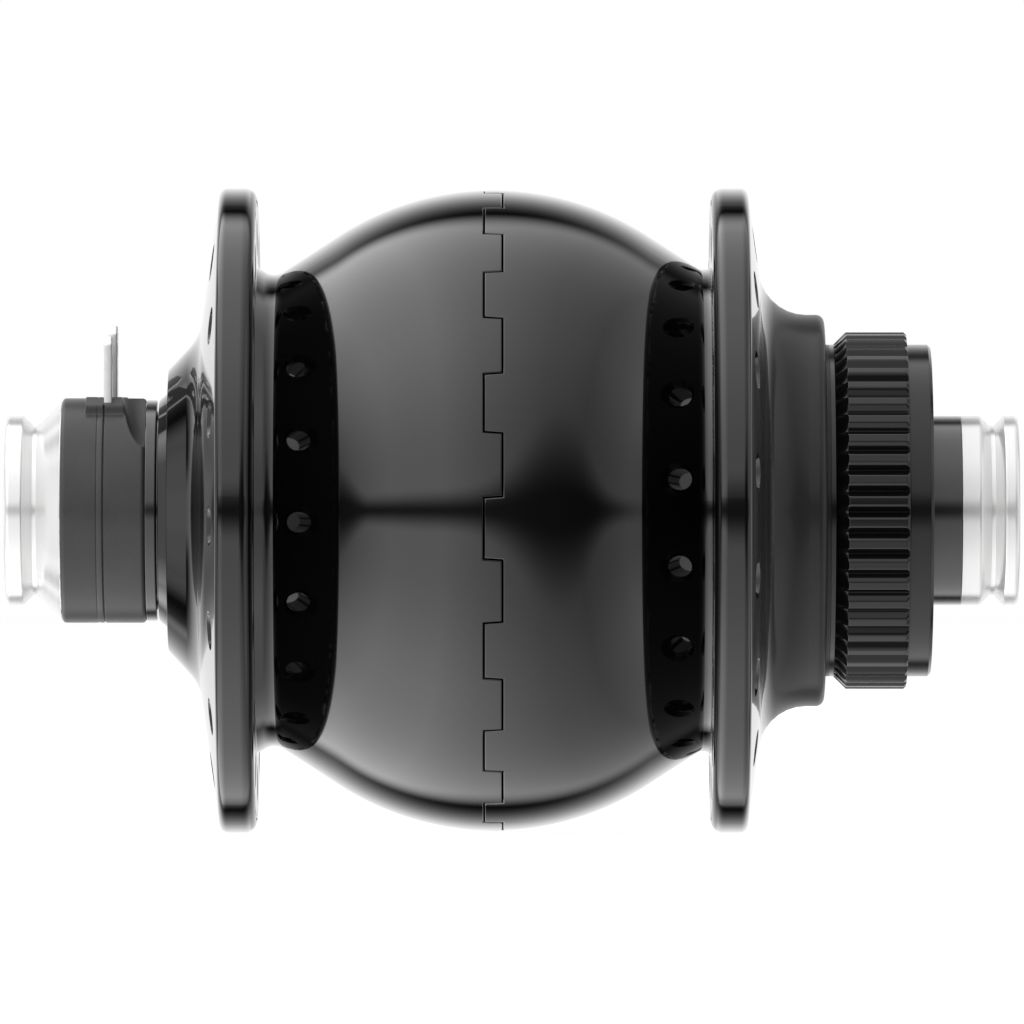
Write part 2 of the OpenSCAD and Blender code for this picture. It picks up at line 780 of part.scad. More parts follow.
module left_cage() {
    cage(left_seat_y);
}

module right_cage() {
    cage(right_race_y);
}

// Claw outlines of one plate, as tapered bars drawn outwards from the axle
module claws(turn) {
    around(pole_count / 2, turn) outwards(mid_r, claw_r + past) polygon([
        [-claw_root_w / 2, 0], [claw_root_w / 2, 0],
        [claw_tip_w / 2, stator_w], [-claw_tip_w / 2, stator_w],
    ]);
}

// Claw plate: a disc on the axle whose rim bends over into tapered claws
module claw_plate(turn) {
    intersection() {
        turned([
            [mid_r + fit, 0], [claw_r, 0], [claw_r, stator_w - claw_short],
            [claw_r - claw_t, stator_w - claw_short], [claw_r - claw_t, plate_t], [mid_r + fit, plate_t],
        ]);
        union() {
            ring(mid_r, bobbin_r, -past, plate_t + past);
            claws(turn);
        }
    }
}

// Left claw plate, with holes for the leads
module left_claw_plate() {
    color(iron) along_axle() translate([0, 0, stator_left_y]) difference() {
        claw_plate(0);
        upwards() for (side = [-1, 1]) translate([wire_coil_r, side * wire_x, -past])
            cylinder(d = wire_d + wire_clear, h = plate_t + 2 * past, $fn = wire_fn);
    }
}

// Right claw plate, facing the left one with its claws between the others
module right_claw_plate() {
    color(iron) along_axle() translate([0, 0, stator_right_y]) mirror([0, 0, 1])
        claw_plate(360 / pole_count);
}

// Iron core between the claw plates
module core_sleeve() {
    color(iron) along_axle() ring(mid_r + fit, core_r, stator_left_y + plate_t, stator_right_y - plate_t);
}

// Bobbin that the coil is wound on
module coil_bobbin() {
    left = stator_left_y + plate_t + fit;
    right = stator_right_y - plate_t - fit;
    color(nylon) along_axle() turned([
        [bobbin_in_r, left], [bobbin_r, left], [bobbin_r, left + bobbin_wall],
        [bobbin_in_r + bobbin_wall, left + bobbin_wall], [bobbin_in_r + bobbin_wall, right - bobbin_wall],
        [bobbin_r, right - bobbin_wall], [bobbin_r, right], [bobbin_in_r, right],
    ]);
}

// Coil, wound full between the bobbin's rims
module coil_winding() {
    inset = plate_t + bobbin_wall + 2 * fit;
    color(copper) along_axle() ring(
        bobbin_in_r + bobbin_wall + fit, bobbin_r - winding_under,
        stator_left_y + inset, stator_right_y - inset);
}

// Ring nut that clamps the stator, with spanner slots
module stator_nut() {
    color(steel) along_axle() difference() {
        ring(mid_r + fit, nut_d / 2, stator_right_y, stator_right_y + nut_w);
        around(4) translate([nut_d / 2 - nut_slot_depth, -nut_slot_w / 2, stator_right_y - past])
            cube([nut_slot_depth + past, nut_slot_w, nut_w + 2 * past]);
    }
}

// Points of the ball's curve between two angles from its middle, the straight neck included
function ball_points(from, to) = [for (i = [0:ball_steps])
    let (t = from + (to - from) * i / ball_steps)
    [ball_off + ball_curve_r * cos(t), ball_y + ball_curve_r * sin(t)]];

// Radius of the straight neck between the ball and a flange, a distance from the ball's middle
function neck_at(distance) =
    ball_off + ball_curve_r / cos(ball_half_angle) - distance * tan(ball_half_angle);

// Angle on the ball's curve at a place along the axle
function ball_angle(y) = asin((y - ball_y) / ball_curve_r);

// Distance from the ball's middle to the foot of a flange's inner face, with its rim a distance away
function valley_foot(rim) = rim - (flange_r - valley_r) * tan(inner_draft);

// Run of the valley's side from that foot down to the neck
function valley_run(rim) =
    (valley_r - neck_at(valley_foot(rim))) / (tan(valley_slope) + tan(ball_half_angle));

// Distance from the ball's middle to the valley's bottom
function valley_bottom(rim) = valley_foot(rim) - valley_run(rim);

// Corners of the valley on one side of the ball, from the flange's face down
function valley(rim, side, blend) = [
    [valley_r, ball_y + side * valley_foot(rim)],
    [valley_r - valley_run(rim) * tan(valley_slope), ball_y + side * valley_bottom(rim), blend],
];

// Angle on the ball's curve at which the neck starts, short of a valley's rounded bottom
function neck_angle(rim, blend) =
    min(ball_half_angle, asin((valley_bottom(rim) - blend) / ball_curve_r));

// Radius of the cavity where the web beside a bearing starts, a distance from the ball's middle
function web_r(distance) = max(seat_r + fit, min(yoke_hold_r, neck_at(distance) - neck_wall));

// One spoke hole with a countersink at each end, between two faces of a flange
module spoke_hole(y_low, y_high) {
    sink = (spoke_sink_d - spoke_hole_d) / 2;
    translate([spoke_r, 0, 0]) {
        translate([0, 0, y_low - past])
            cylinder(d = spoke_hole_d, h = y_high - y_low + 2 * past, $fn = small_fn);
        translate([0, 0, y_low - sink]) cylinder(
            d1 = spoke_sink_d + 2 * sink, d2 = spoke_hole_d, h = 2 * sink, $fn = small_fn);
        translate([0, 0, y_high - sink]) cylinder(
            d1 = spoke_hole_d, d2 = spoke_sink_d + 2 * sink, h = 2 * sink, $fn = small_fn);
    }
}

// Tapered bars in the places of the left half's seam teeth, wider on both sides by a gap
module seam_bars(gap) {
    half_w = PI * ball_d / seam_teeth / 4 + gap;
    root = half_w + tan(seam_lean) * (seam_depth / 2 + past);
    tip = half_w - tan(seam_lean) * seam_depth / 2;
    around(seam_teeth, seam_turn) outwards(yoke_seat_r, flange_r + past) polygon([
        [-root, seam_left_y - past], [root, seam_left_y - past],
        [tip, seam_right_y], [-tip, seam_right_y],
    ]);
}

// Half section of the left half's outside, closed along the axle at the seam
function left_outline() =
    let (
        face_y = left_rim_y - (flange_r - left_step_d / 2) * tan(face_draft),
        neck_run = tan(90 - face_draft) - tan(left_neck_slope),
        corner_y = face_y + (step_y - face_y) * -tan(left_neck_slope) / neck_run,
        corner_r = left_step_d / 2 + (corner_y - step_y) * tan(left_neck_slope),
        inner_y = left_flange_y + flange_w / 2,
        neck = neck_angle(left_neck_at, left_valley_blend)
    )
    concat(
        [[0, mouth_y], [mouth_r, mouth_y], [mouth_r + mouth_cone_rise, step_y],
            [left_step_d / 2, step_y, step_round], [corner_r, corner_y, left_neck_blend],
            [flange_r, left_rim_y, flange_round], [flange_r, inner_y, flange_round]],
        valley(left_neck_at, -1, left_valley_blend),
        ball_points(-neck, ball_angle(seam_right_y - seam_gap)),
        [[0, seam_right_y - seam_gap]]
    );

// Left half of the shell, with its flange, bearing seat and seam teeth
module left_shell() {
    face_y = left_rim_y - spoke_edge * tan(face_draft);
    inner_y = left_flange_y + flange_w / 2 + spoke_edge * tan(inner_draft);
    color(anodised_black) along_axle() difference() {
        intersection() {
            turned(left_outline());
            union() {
                ring(0, flange_r + past, mouth_y - past, seam_left_y);
                seam_bars(0);
            }
        }
        turned([
            [0, mouth_y - past], [mouth_in_r, mouth_y - past], [mouth_in_r, left_pocket_y],
            [pocket_r, left_pocket_y], [pocket_r, left_seat_y], [seat_r, left_seat_y],
            [seat_r, left_race_y], [seat_r + circlip_depth, left_race_y],
            [seat_r + circlip_depth, left_race_y + circlip_t + fit],
            [seat_r, left_race_y + circlip_t + fit], [seat_r, left_web_y],
            [web_r(ball_y - left_web_y), left_web_y],
            [yoke_hold_r, yoke_left_y - fit], [yoke_seat_r, yoke_left_y - fit],
            [yoke_seat_r, seam_spigot_y - seam_gap], [seam_bore_r, seam_spigot_y - seam_gap],
            [seam_bore_r, seam_right_y], [0, seam_right_y],
        ]);
        around(spoke_count, left_spoke_turn) spoke_hole(face_y, inner_y);
    }
}

// Half section of the right half's outside, closed along the axle at the seam
function right_outline() =
    let (
        inner_y = right_flange_y - flange_w / 2,
        neck = neck_angle(right_neck_at, right_valley_blend),
        dip = valley(right_neck_at, 1, right_valley_blend),
        shoulder_r = shoulder_d / 2,
        face_y = right_rim_y + (flange_r - shoulder_r) * tan(face_draft),
        lead_in = spline_r - collar_r
    )
    concat(
        [[0, seam_left_y + seam_gap]],
        ball_points(ball_angle(seam_left_y + seam_gap), neck),
        [dip[1], dip[0], [flange_r, inner_y, flange_round], [flange_r, right_rim_y, flange_round],
            [shoulder_r, face_y, right_neck_blend], [shoulder_r, shoulder_y, shoulder_round],
            [collar_r, shoulder_y], [collar_r, spline_y], [spline_r, spline_y + lead_in],
            [spline_r, collar_y - spline_chamfer], [spline_r - spline_chamfer, collar_y],
            [collar_r, collar_y], [collar_r, collar_end_y - collar_chamfer],
            [collar_r - collar_chamfer, collar_end_y], [0, collar_end_y]]
    );

// Gaps between the rotor spline's teeth, with round ends towards the collar
module spline_gaps() {
    start_y = spline_y - undercut_w / 2;
    end_y = collar_y + spline_runout - spline_gap / 2;
    around(spline_teeth, spline_turn) outwards(spline_root_r, spline_r + past) {
        translate([-spline_gap / 2, start_y]) square([spline_gap, end_y - start_y]);
        translate([0, end_y]) circle(d = spline_gap, $fn = wire_fn);
    }
}

// Right half of the shell, with its flange, bearing seat, rotor spline and lockring bore
module right_shell() {
    face_y = right_rim_y + spoke_edge * tan(face_draft);
    inner_y = right_flange_y - flange_w / 2 - spoke_edge * tan(inner_draft);
    seal_w = seam_seal_t + 2 * fit;
    color(anodised_black) along_axle() difference() {
        union() {
            turned(right_outline());
            ring(yoke_seat_r - past, seam_spigot_r, seam_spigot_y, seam_right_y);
        }
        intersection() {
            ring(seam_spigot_r, flange_r, seam_left_y - past, seam_right_y);
            seam_bars(seam_gap);
        }
        turned([
            [0, seam_spigot_y - past], [yoke_seat_r, seam_spigot_y - past],
            [yoke_seat_r, yoke_right_y + fit], [yoke_hold_r, yoke_right_y + fit],
            [web_r(right_web_y - ball_y), right_web_y], [seat_r, right_web_y],
            [seat_r, right_race_y - circlip_t - fit],
            [seat_r + circlip_depth, right_race_y - circlip_t - fit],
            [seat_r + circlip_depth, right_race_y],
            [seat_r, right_race_y], [seat_r, right_seat_y], [pocket_r, right_seat_y],
            [pocket_r, right_pocket_y], [thread_r, right_pocket_y], [thread_r, collar_end_y + past],
            [0, collar_end_y + past],
        ]);
        ring(seam_seal_r, seam_spigot_r + past, seam_seal_y - seal_w / 2, seam_seal_y + seal_w / 2);
        around(spoke_count, right_spoke_turn) spoke_hole(inner_y, face_y);
        spline_gaps();
    }
}

// O-ring in the spigot under the seam
module seam_o_ring() {
    color(rubber) along_axle()
        o_ring((seam_seal_r + seam_bore_r) / 2, seam_seal_t - 2 * fit, seam_seal_y);
}

// Iron ring that carries the magnets
module yoke_ring() {
    color(iron) along_axle() ring(yoke_r - yoke_t, yoke_r, yoke_left_y, yoke_right_y);
}

// Magnets, one for each pole
module magnets() {
    span = 360 / pole_count - magnet_gap / magnet_r * 180 / PI;
    color(iron) along_axle() around(pole_count, -span / 2) rotate_extrude(angle = span)
        translate([magnet_r - magnet_t, stator_left_y]) square([magnet_t, stator_w]);
}

// Seal between the shell's left mouth and the left bearing
module left_dust_seal() {
    color(rubber) along_axle()
        ring(sleeve_r + run_gap, pocket_r - fit, left_pocket_y, left_seat_y - run_gap);
}

// Seal round the spacer, behind the lockring bore
module right_dust_seal() {
    color(rubber) along_axle()
        ring(spacer_r + run_gap, pocket_r - fit, right_seat_y + run_gap, right_pocket_y);
}

// Open retaining ring that starts at a place
module circlip(y) {
    r_out = seat_r + circlip_depth - fit;
    color(steel) along_axle() rotate([0, 0, circlip_open / 2]) rotate_extrude(angle = 360 - circlip_open)
        translate([r_out - circlip_hoop, y]) square([circlip_hoop, circlip_t]);
}

module left_circlip() {
    circlip(left_race_y);
}

module right_circlip() {
    circlip(right_race_y - circlip_t);
}

axle();
left_end_cap();
right_end_cap();
cap_o_rings();
terminal_block_outer();
terminal_block_inner();
front_terminal();
rear_terminal();
lead_wires();
dust_ring();
right_spacer();
left_inner_race();
right_inner_race();
left_claw_plate();
right_claw_plate();
core_sleeve();
coil_bobbin();
coil_winding();
stator_nut();
left_shell();
right_shell();
seam_o_ring();
yoke_ring();
magnets();
left_outer_race();
right_outer_race();
left_bearing_shields();
right_bearing_shields();
left_dust_seal();
right_dust_seal();
left_circlip();
right_circlip();
left_balls();
left_cage();
right_balls();
right_cage();
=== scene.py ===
"""Looks of a front hub dynamo: ball-shaped shell, spoke flanges, rotor spline, caps and terminals.

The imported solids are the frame. The outside pieces are drawn again as smooth surfaces, the inside pieces
keep their solids, and every one gets its own finish. Sizes are in millimetres, meshes in metres.
"""
import json
import logging
import math
from collections.abc import Callable, Sequence
from dataclasses import dataclass, field
from enum import Enum

import bmesh
import bpy
import numpy as np
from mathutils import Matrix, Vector
from numpy.typing import NDArray


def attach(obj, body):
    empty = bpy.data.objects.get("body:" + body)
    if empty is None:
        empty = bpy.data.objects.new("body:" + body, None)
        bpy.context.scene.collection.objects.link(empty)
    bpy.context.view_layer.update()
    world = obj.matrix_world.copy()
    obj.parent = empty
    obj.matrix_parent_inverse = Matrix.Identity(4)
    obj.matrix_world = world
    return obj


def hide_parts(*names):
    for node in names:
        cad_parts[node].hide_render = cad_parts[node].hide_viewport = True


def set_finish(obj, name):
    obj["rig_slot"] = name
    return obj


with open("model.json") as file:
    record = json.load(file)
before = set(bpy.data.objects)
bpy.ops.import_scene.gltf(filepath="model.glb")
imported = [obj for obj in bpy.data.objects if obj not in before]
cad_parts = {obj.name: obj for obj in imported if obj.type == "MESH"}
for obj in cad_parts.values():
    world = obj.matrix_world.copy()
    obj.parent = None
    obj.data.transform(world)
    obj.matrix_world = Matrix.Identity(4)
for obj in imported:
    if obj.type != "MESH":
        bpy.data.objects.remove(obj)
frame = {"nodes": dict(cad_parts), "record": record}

Array = NDArray[np.float64]
Corner = tuple[float, float] | tuple[float, float, float]

MM = 0.001
EDGE_BREAK = 0.07
MERGE_MM = 0.002
TINY = 1e-6
STRAIGHT_RAD = 0.02
SHARP_DEG = 32.0
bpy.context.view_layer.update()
LOG = logging.getLogger("hub_dynamo")


class Body(Enum):
    """Bodies of the frame that the pieces ride on."""

    AXLE_SET = "axle_set"
    HUB_SHELL = "hub_shell"


def rounded(corners: Sequence[Corner], closed: bool = True, steps: int = 7, guard: float = 0.05) -> Array:
    """Half section whose corners are arcs: each corner gives way to the circle that touches both its sides.

    A point on an arc is the circle's middle plus its radius times the turn from one touching point to the
    other. A guard point beside each touching point keeps the flat sides flat when they are shaded.

    Args:
        corners: radius, place along the axle and, where it isn't a plain broken edge, rounding.
        closed: whether the last corner joins the first.
        steps: pieces of each arc.
        guard: distance of the guard points.

    Returns:
        Points of the section, one row each of radius and place.
    """
    at = np.array([c[:2] for c in corners], float)
    radius = np.array([c[2] if len(c) > 2 else EDGE_BREAK for c in corners])
    back = np.roll(at, 1, 0) - at
    on = np.roll(at, -1, 0) - at
    back /= np.linalg.norm(back, axis=1, keepdims=True)
    on /= np.linalg.norm(on, axis=1, keepdims=True)
    half = np.arccos(np.clip((back * on).sum(1), -1.0, 1.0)) / 2
    turn = np.maximum(np.pi - 2 * half, TINY)
    reach = radius / np.tan(np.maximum(half, TINY))
    middle_way = back + on
    length = np.linalg.norm(middle_way, axis=1, keepdims=True)
    middle = at + middle_way / np.maximum(length, 1e-9) * (radius / np.sin(half))[:, None]
    start = (at + back * reach[:, None] - middle) / radius[:, None]
    end = (at + on * reach[:, None] - middle) / radius[:, None]
    t = np.linspace(0.0, 1.0, steps + 1)[None, :, None]
    w = turn[:, None, None]
    swing = (np.sin((1 - t) * w) * start[:, None] + np.sin(t * w) * end[:, None]) / np.sin(w)
    arcs = middle[:, None] + radius[:, None, None] * swing
    before = at + back * (reach + guard)[:, None]
    after = at + on * (reach + guard)[:, None]
    strips = np.concatenate([before[:, None], arcs, after[:, None]], axis=1)
    rows = [at[i:i + 1] if turn[i] < STRAIGHT_RAD else strips[i] for i in range(len(at))]
    if not closed:
        rows[0], rows[-1] = at[:1], at[-1:]
    return np.concatenate(rows)


def turned(section: Array, angles: Array) -> Array:
    """Grid of a section, with a radius and a place in each row, carried round the axle."""
    r, y = section[:, :1], section[:, 1:]
    return swept(r + 0 * angles, y + 0 * angles, angles + 0 * r)


def swept(r: Array, y: Array, angle: Array) -> Array:
    """Points at radius r, place y and an angle from the front downwards: x = r cos a, y, z = -r sin a."""
    return np.stack([r * np.cos(angle), y + 0 * angle, -r * np.sin(angle)], axis=-1)


def full_circle(count: int) -> Array:
    """Evenly spaced angles of one turn."""
    return np.linspace(0.0, 2 * np.pi, count, endpoint=False)


def grid_quads(index: NDArray[np.int64]) -> NDArray[np.int64]:
    """Corners of the quads between neighbours in a grid of point numbers."""
    corners = [index[:-1, :-1], index[:-1, 1:], index[1:, 1:], index[1:, :-1]]
    return np.stack(corners, axis=-1).reshape(-1, 4)


def put(name: str, data: bpy.types.ID) -> bpy.types.Object:
    """New object of some data, linked into the scene."""
    made = bpy.data.objects.new(name, data)
    bpy.context.scene.collection.objects.link(made)
    return made


class Surface:
    """Patches of points, closed round the axle or a hole, that are sewn into one closed mesh."""

    def __init__(self) -> None:
        """Starts with no patch."""
        self.points: list[Array] = []
        self.quads: list[NDArray[np.int64]] = []
        self.count = 0

    def add(self, grid: Array, wrap_rows: bool = False) -> None:
        """Adds a grid of points, whose last column joins the first, as quads between neighbours.

        Args:
            grid: points, rows by columns by three, in millimetres.
            wrap_rows: whether the last row joins the first.
        """
        rows, cols = grid.shape[:2]
        index = np.arange(rows * cols).reshape(rows, cols) + self.count
        if wrap_rows:
            index = np.concatenate([index, index[:1]], axis=0)
        self.quads.append(grid_quads(np.concatenate([index, index[:, :1]], axis=1)))
        self.points.append(grid.reshape(-1, 3))
        self.count += rows * cols

    def build(self, name: str, sharp_deg: float = SHARP_DEG) -> bpy.types.Object:
        """Sews the patches, turns all faces outwards and shades them smooth up to sharp edges.

        Args:
            name: name of the new object.
            sharp_deg: angle between faces past which an edge stays sharp.

        Returns:
            The object, at the origin.
        """
        mesh = bpy.data.meshes.new(name)
        mesh.from_pydata(np.concatenate(self.points) * MM, [], np.concatenate(self.quads).tolist())
        work = bmesh.new()
        work.from_mesh(mesh)
        bmesh.ops.remove_doubles(work, verts=work.verts, dist=MERGE_MM * MM)
        bmesh.ops.dissolve_degenerate(work, edges=work.edges, dist=MERGE_MM * MM / 10)
        bmesh.ops.recalc_face_normals(work, faces=work.faces)
        work.to_mesh(mesh)
        work.free()
        mesh.shade_smooth()
        mesh.set_sharp_from_angle(angle=math.radians(sharp_deg))
        return put(name, mesh)


def lathe(name: str, corners: Sequence[Corner], columns: int = 192) -> bpy.types.Object:
    """Closed turned piece from the corners of its half section."""
    surface = Surface()
    surface.add(turned(rounded(corners), full_circle(columns)), wrap_rows=True)
    return surface.build(name)


def settle(piece: bpy.types.Object, body: Body, slot: str, *nodes: str) -> bpy.types.Object:
    """Puts a piece on its body, in place of solids, with the material slot that it takes.

    Args:
        piece: the piece.
        body: body that it rides on.
        slot: slot of the record.
        nodes: solids that it stands for.

    Returns:
        The piece.
    """
    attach(piece, body.value)
    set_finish(piece, slot)
    if nodes:
        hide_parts(*nodes)
    return piece


Value = "Link | float | tuple[float, ...]"
Operator = Callable[["Link", Value], "Link"]
Colour = tuple[float, float, float, float]


def grey(level: float, warm: float = 0.0) -> Colour:
    """Grey of a level, a little warmer or cooler."""
    return (level * (1 + warm), level, level * (1 - warm), 1.0)


class Board:
    """Node tree on which a finish is laid out."""

    def __init__(self, tree: bpy.types.NodeTree) -> None:
        """Starts from an emptied tree."""
        self.tree = tree
        tree.nodes.clear()

    def node(self, kind: str, settings: dict[str, object] | None = None,
             sockets: dict[str | int, Value] | None = None, out: str | int = 0) -> "Link":
        """Adds one node, with its settings first and its sockets after.

        Args:
            kind: type of the node.
            settings: values of its own fields; "stops" are a ramp's places and colours.
            sockets: values or links of its inputs, by name or number.
            out: output that is handed back.

        Returns:
            The chosen output.
        """
        made = self.tree.nodes.new(kind)
        for key, value in (settings or {}).items():
            if key == "stops":
                ramp = made.color_ramp
                for _ in range(len(value) - len(ramp.elements)):
                    ramp.elements.new(1.0)
                for element, (place, colour) in zip(ramp.elements, value):
                    element.position, element.color = place, colour
            else:
                setattr(made, key, value)
        for key, value in (sockets or {}).items():
            self.feed(made.inputs[key], value)
        return Link(self, made.outputs[out] if made.outputs else None)

    def feed(self, socket: bpy.types.NodeSocket, value: Value) -> None:
        """Links a value into a socket, or sets it there."""
        if isinstance(value, Link):
            self.tree.links.new(value.socket, socket)
        else:
            socket.default_value = value

    def place(self) -> tuple["Link", "Link", "Link", "Link"]:
        """Place on the piece in millimetres: the vector, then x, y and z."""
        at = self.node("ShaderNodeTexCoord", out="Object")
        at = self.node("ShaderNodeVectorMath", {"operation": "SCALE"}, {0: at, "Scale": 1 / MM})
        split = self.node("ShaderNodeSeparateXYZ", sockets={0: at})
        outs = split.socket.node.outputs
        return at, Link(self, outs[0]), Link(self, outs[1]), Link(self, outs[2])

    def noise(self, at: "Link", scale: float, detail: float = 2.0,
              stretch: tuple[float, float, float] = (1.0, 1.0, 1.0)) -> "Link":
        """Noise from 0 to 1 on places in millimetres, stretched along the axes."""
        at = self.node("ShaderNodeVectorMath", {"operation": "MULTIPLY"}, {0: at, 1: stretch})
        inputs = {"Vector": at, "Scale": scale, "Detail": detail}
        return self.node("ShaderNodeTexNoise", None, inputs, out="Fac")

    def mix(self, share: Value, a: Value, b: Value) -> "Link":
        """Colour between two colours."""
        return self.node("ShaderNodeMix", {"data_type": "RGBA"}, {0: share, 6: a, 7: b}, out=2)

    def rings(self) -> "Link":
        """Vector of the radius and the place along the axle, the same all the way round."""
        _, x, y, z = self.place()
        return self.node("ShaderNodeCombineXYZ", None, {0: x.norm(z), 1: y, 2: 0.0})

    def bump(self, height: "Link", depth_mm: float) -> "Link":
        """Normal of a surface that rises by a height times a depth."""
        inputs = {"Height": height, "Distance": depth_mm * MM, "Strength": 1.0}
        return self.node("ShaderNodeBump", None, inputs, out="Normal")


def operators(operation: str) -> tuple["Operator", "Operator"]:
    """Methods of one operation, for a link on the left of the sign and for one on its right."""

    def left(link: "Link", other: Value) -> "Link":
        """Link first."""
        return link.operate(operation, link, other)

    def right(link: "Link", other: Value) -> "Link":
        """Link second."""
        return link.operate(operation, other, link)

    return left, right


class Link:
    """A socket in an expression; sums, products and powers of links add their nodes."""

    def __init__(self, board: Board, socket: bpy.types.NodeSocket | None) -> None:
        """Wraps an output socket."""
        self.board = board
        self.socket = socket

    def operate(self, operation: str, a: Value, b: Value = 0.0) -> "Link":
        """Adds the node of one operation on values."""
        return self.board.node("ShaderNodeMath", {"operation": operation}, {0: a, 1: b})

    __add__, __radd__ = operators("ADD")
    __sub__, __rsub__ = operators("SUBTRACT")
    __mul__, __rmul__ = operators("MULTIPLY")
    __truediv__, __rtruediv__ = operators("DIVIDE")
    __pow__, __rpow__ = operators("POWER")

    def __abs__(self) -> "Link":
        """Size without its sign."""
        return self.operate("ABSOLUTE", self)

    def norm(self, other: "Link") -> "Link":
        """Length of the vector of two links."""
        return (self * self + other * other) ** 0.5

    def sine(self) -> "Link":
        """Sine of the value in radians."""
        return self.operate("SINE", self)

    def atan2(self, other: Value) -> "Link":
        """Angle of the point (other, self), in radians."""
        return self.operate("ARCTAN2", self, other)

    def rise(self, low: Value, high: Value, start: Value = 0.0, end: Value = 1.0) -> "Link":
        """Smooth step from start at low to end at high."""
        return self.board.node("ShaderNodeMapRange", {"interpolation_type": "SMOOTHSTEP"},
                               {"Value": self, 1: low, 2: high, 3: start, 4: end})


def blank_material(name: str) -> tuple[bpy.types.Material, Board]:
    """New material with an empty board."""
    made = bpy.data.materials.new(name)
    made.use_nodes = True
    return made, Board(made.node_tree)


@dataclass(frozen=True)
class Finish:
    """Finish of one material slot: a base that the surface's own detail varies."""

    slot: str
    base: Colour
    roughness: float
    metallic: float = 0.0
    ior: float = 1.5

    def paint(self, board: Board) -> dict[str, Value]:
        """Inputs of the shader that vary over the surface, by name."""
        raise NotImplementedError

    def material(self) -> bpy.types.Material:
        """Makes the material, named for its slot."""
        made, board = blank_material(self.slot)
        plain: dict[str, Value] = {"Base Color": self.base, "Roughness": self.roughness,
                                   "Metallic": self.metallic, "IOR": self.ior}
        shader = board.node("ShaderNodeBsdfPrincipled", None, {**plain, **self.paint(board)})
        board.node("ShaderNodeOutputMaterial", None, {"Surface": shader})
        return made

    def shade(self, board: Board, share: "Link", spread: float) -> Link:
        """Base colour from a darker to a lighter cast of itself."""
        low = tuple(c * (1 - spread) for c in self.base[:3]) + (1.0,)
        high = tuple(min(1.0, c * (1 + spread)) for c in self.base[:3]) + (1.0,)
        return board.mix(share, low, high)


@dataclass(frozen=True)
class Satin:
    """Duller zone of a finish, from one place along the axle on."""

    from_y: float
    fade: float
    colour: Colour
    roughness: float
    coat: float


@dataclass(frozen=True)
class Anodised(Finish):
    """Anodised aluminium: a clear hard skin over black, with turning marks and a faint haze.

    The skin is left out on the flanges' inner faces, and zones along the axle can be duller.
    """

    coat: float = 0.6
    coat_roughness: float = 0.05
    haze: float = 0.04
    coat_ior: float = 1.6
    coat_spread: float = 0.06
    bare_y: tuple[float, ...] = ()
    bare_r: float = 24.2
    bare_half: float = 0.7
    satin: tuple[Satin, ...] = ()
    cloud_scale: float = 0.11
    speck_scale: float = 9.0
    mark_depth: float = 0.0006
    mark_pitch: float = 0.18

    def paint(self, board: Board) -> dict[str, Value]:
        """Clouds vary the gloss, and rings round the axle mark the skin."""
        at, x, y, z = board.place()
        cloud = board.noise(at, self.cloud_scale, 3.0)
        speck = board.noise(at, self.speck_scale)
        marks = board.noise(board.rings(), 1 / self.mark_pitch)
        coat = self.coat + (speck - 0.5) * self.coat_spread
        for place in self.bare_y:
            beside = abs(y - place).rise(self.bare_half, self.bare_half / 2)
            coat = coat * (1.0 - x.norm(z).rise(self.bare_r, self.bare_r + 0.4) * beside)
        colour = self.shade(board, cloud * 0.6 + speck * 0.4, 0.25)
        rough = self.roughness
        for zone in self.satin:
            dull = y.rise(zone.from_y, zone.from_y + zone.fade)
            coat = coat * (1.0 - dull) + dull * zone.coat
            rough = (1.0 - dull) * rough + dull * zone.roughness
            colour = board.mix(dull, colour, zone.colour)
        return {
            "Base Color": colour,
            "Roughness": rough + (cloud - 0.5) * self.haze + (speck - 0.5) * self.haze * 0.5,
            "Coat Weight": coat, "Coat Roughness": self.coat_roughness, "Coat IOR": self.coat_ior,
            "Normal": board.bump(marks, self.mark_depth),
        }


@dataclass(frozen=True)
class TurnedMetal(Finish):
    """Turned bare metal: fine tool rings round the axle, a few of them deeper, and a little tarnish."""

    ring_pitch: float = 0.09
    ring_depth: float = 0.0012
    cloud_scale: float = 0.25
    spread: float = 0.06

    def paint(self, board: Board) -> dict[str, Value]:
        """Rings follow the radius and the place along the axle."""
        rings = board.rings()
        fine = board.noise(rings, 1 / self.ring_pitch)
        broad = board.noise(rings, 0.2 / self.ring_pitch, 1.0)
        cloud = board.noise(board.place()[0], self.cloud_scale, 3.0)
        return {
            "Base Color": self.shade(board, fine * 0.5 + broad * 0.3 + cloud * 0.2, self.spread),
            "Roughness": self.roughness + (broad - 0.5) * 0.1 + (cloud - 0.5) * 0.08,
            "Normal": board.bump(fine * 0.6 + broad * 0.4, self.ring_depth),
        }


@dataclass(frozen=True)
class Grained(Finish):
    """Moulded or cast stuff with an even grain: plastic, rubber, nylon, dull iron or plate."""

    grain: float = 5.0
    grain_depth: float = 0.012
    spread: float = 0.12
    gloss_spread: float = 0.12

    def paint(self, board: Board) -> dict[str, Value]:
        """One noise is the grain, a broader one the wear."""
        at = board.place()[0]
        grain = board.noise(at, self.grain, 3.0)
        wear = board.noise(at, self.grain / 18, 3.0)
        return {
            "Base Color": self.shade(board, grain * 0.4 + wear * 0.6, self.spread),
            "Roughness": self.roughness + (wear - 0.5) * self.gloss_spread + (grain - 0.5) * 0.08,
            "Normal": board.bump(grain, self.grain_depth),
        }


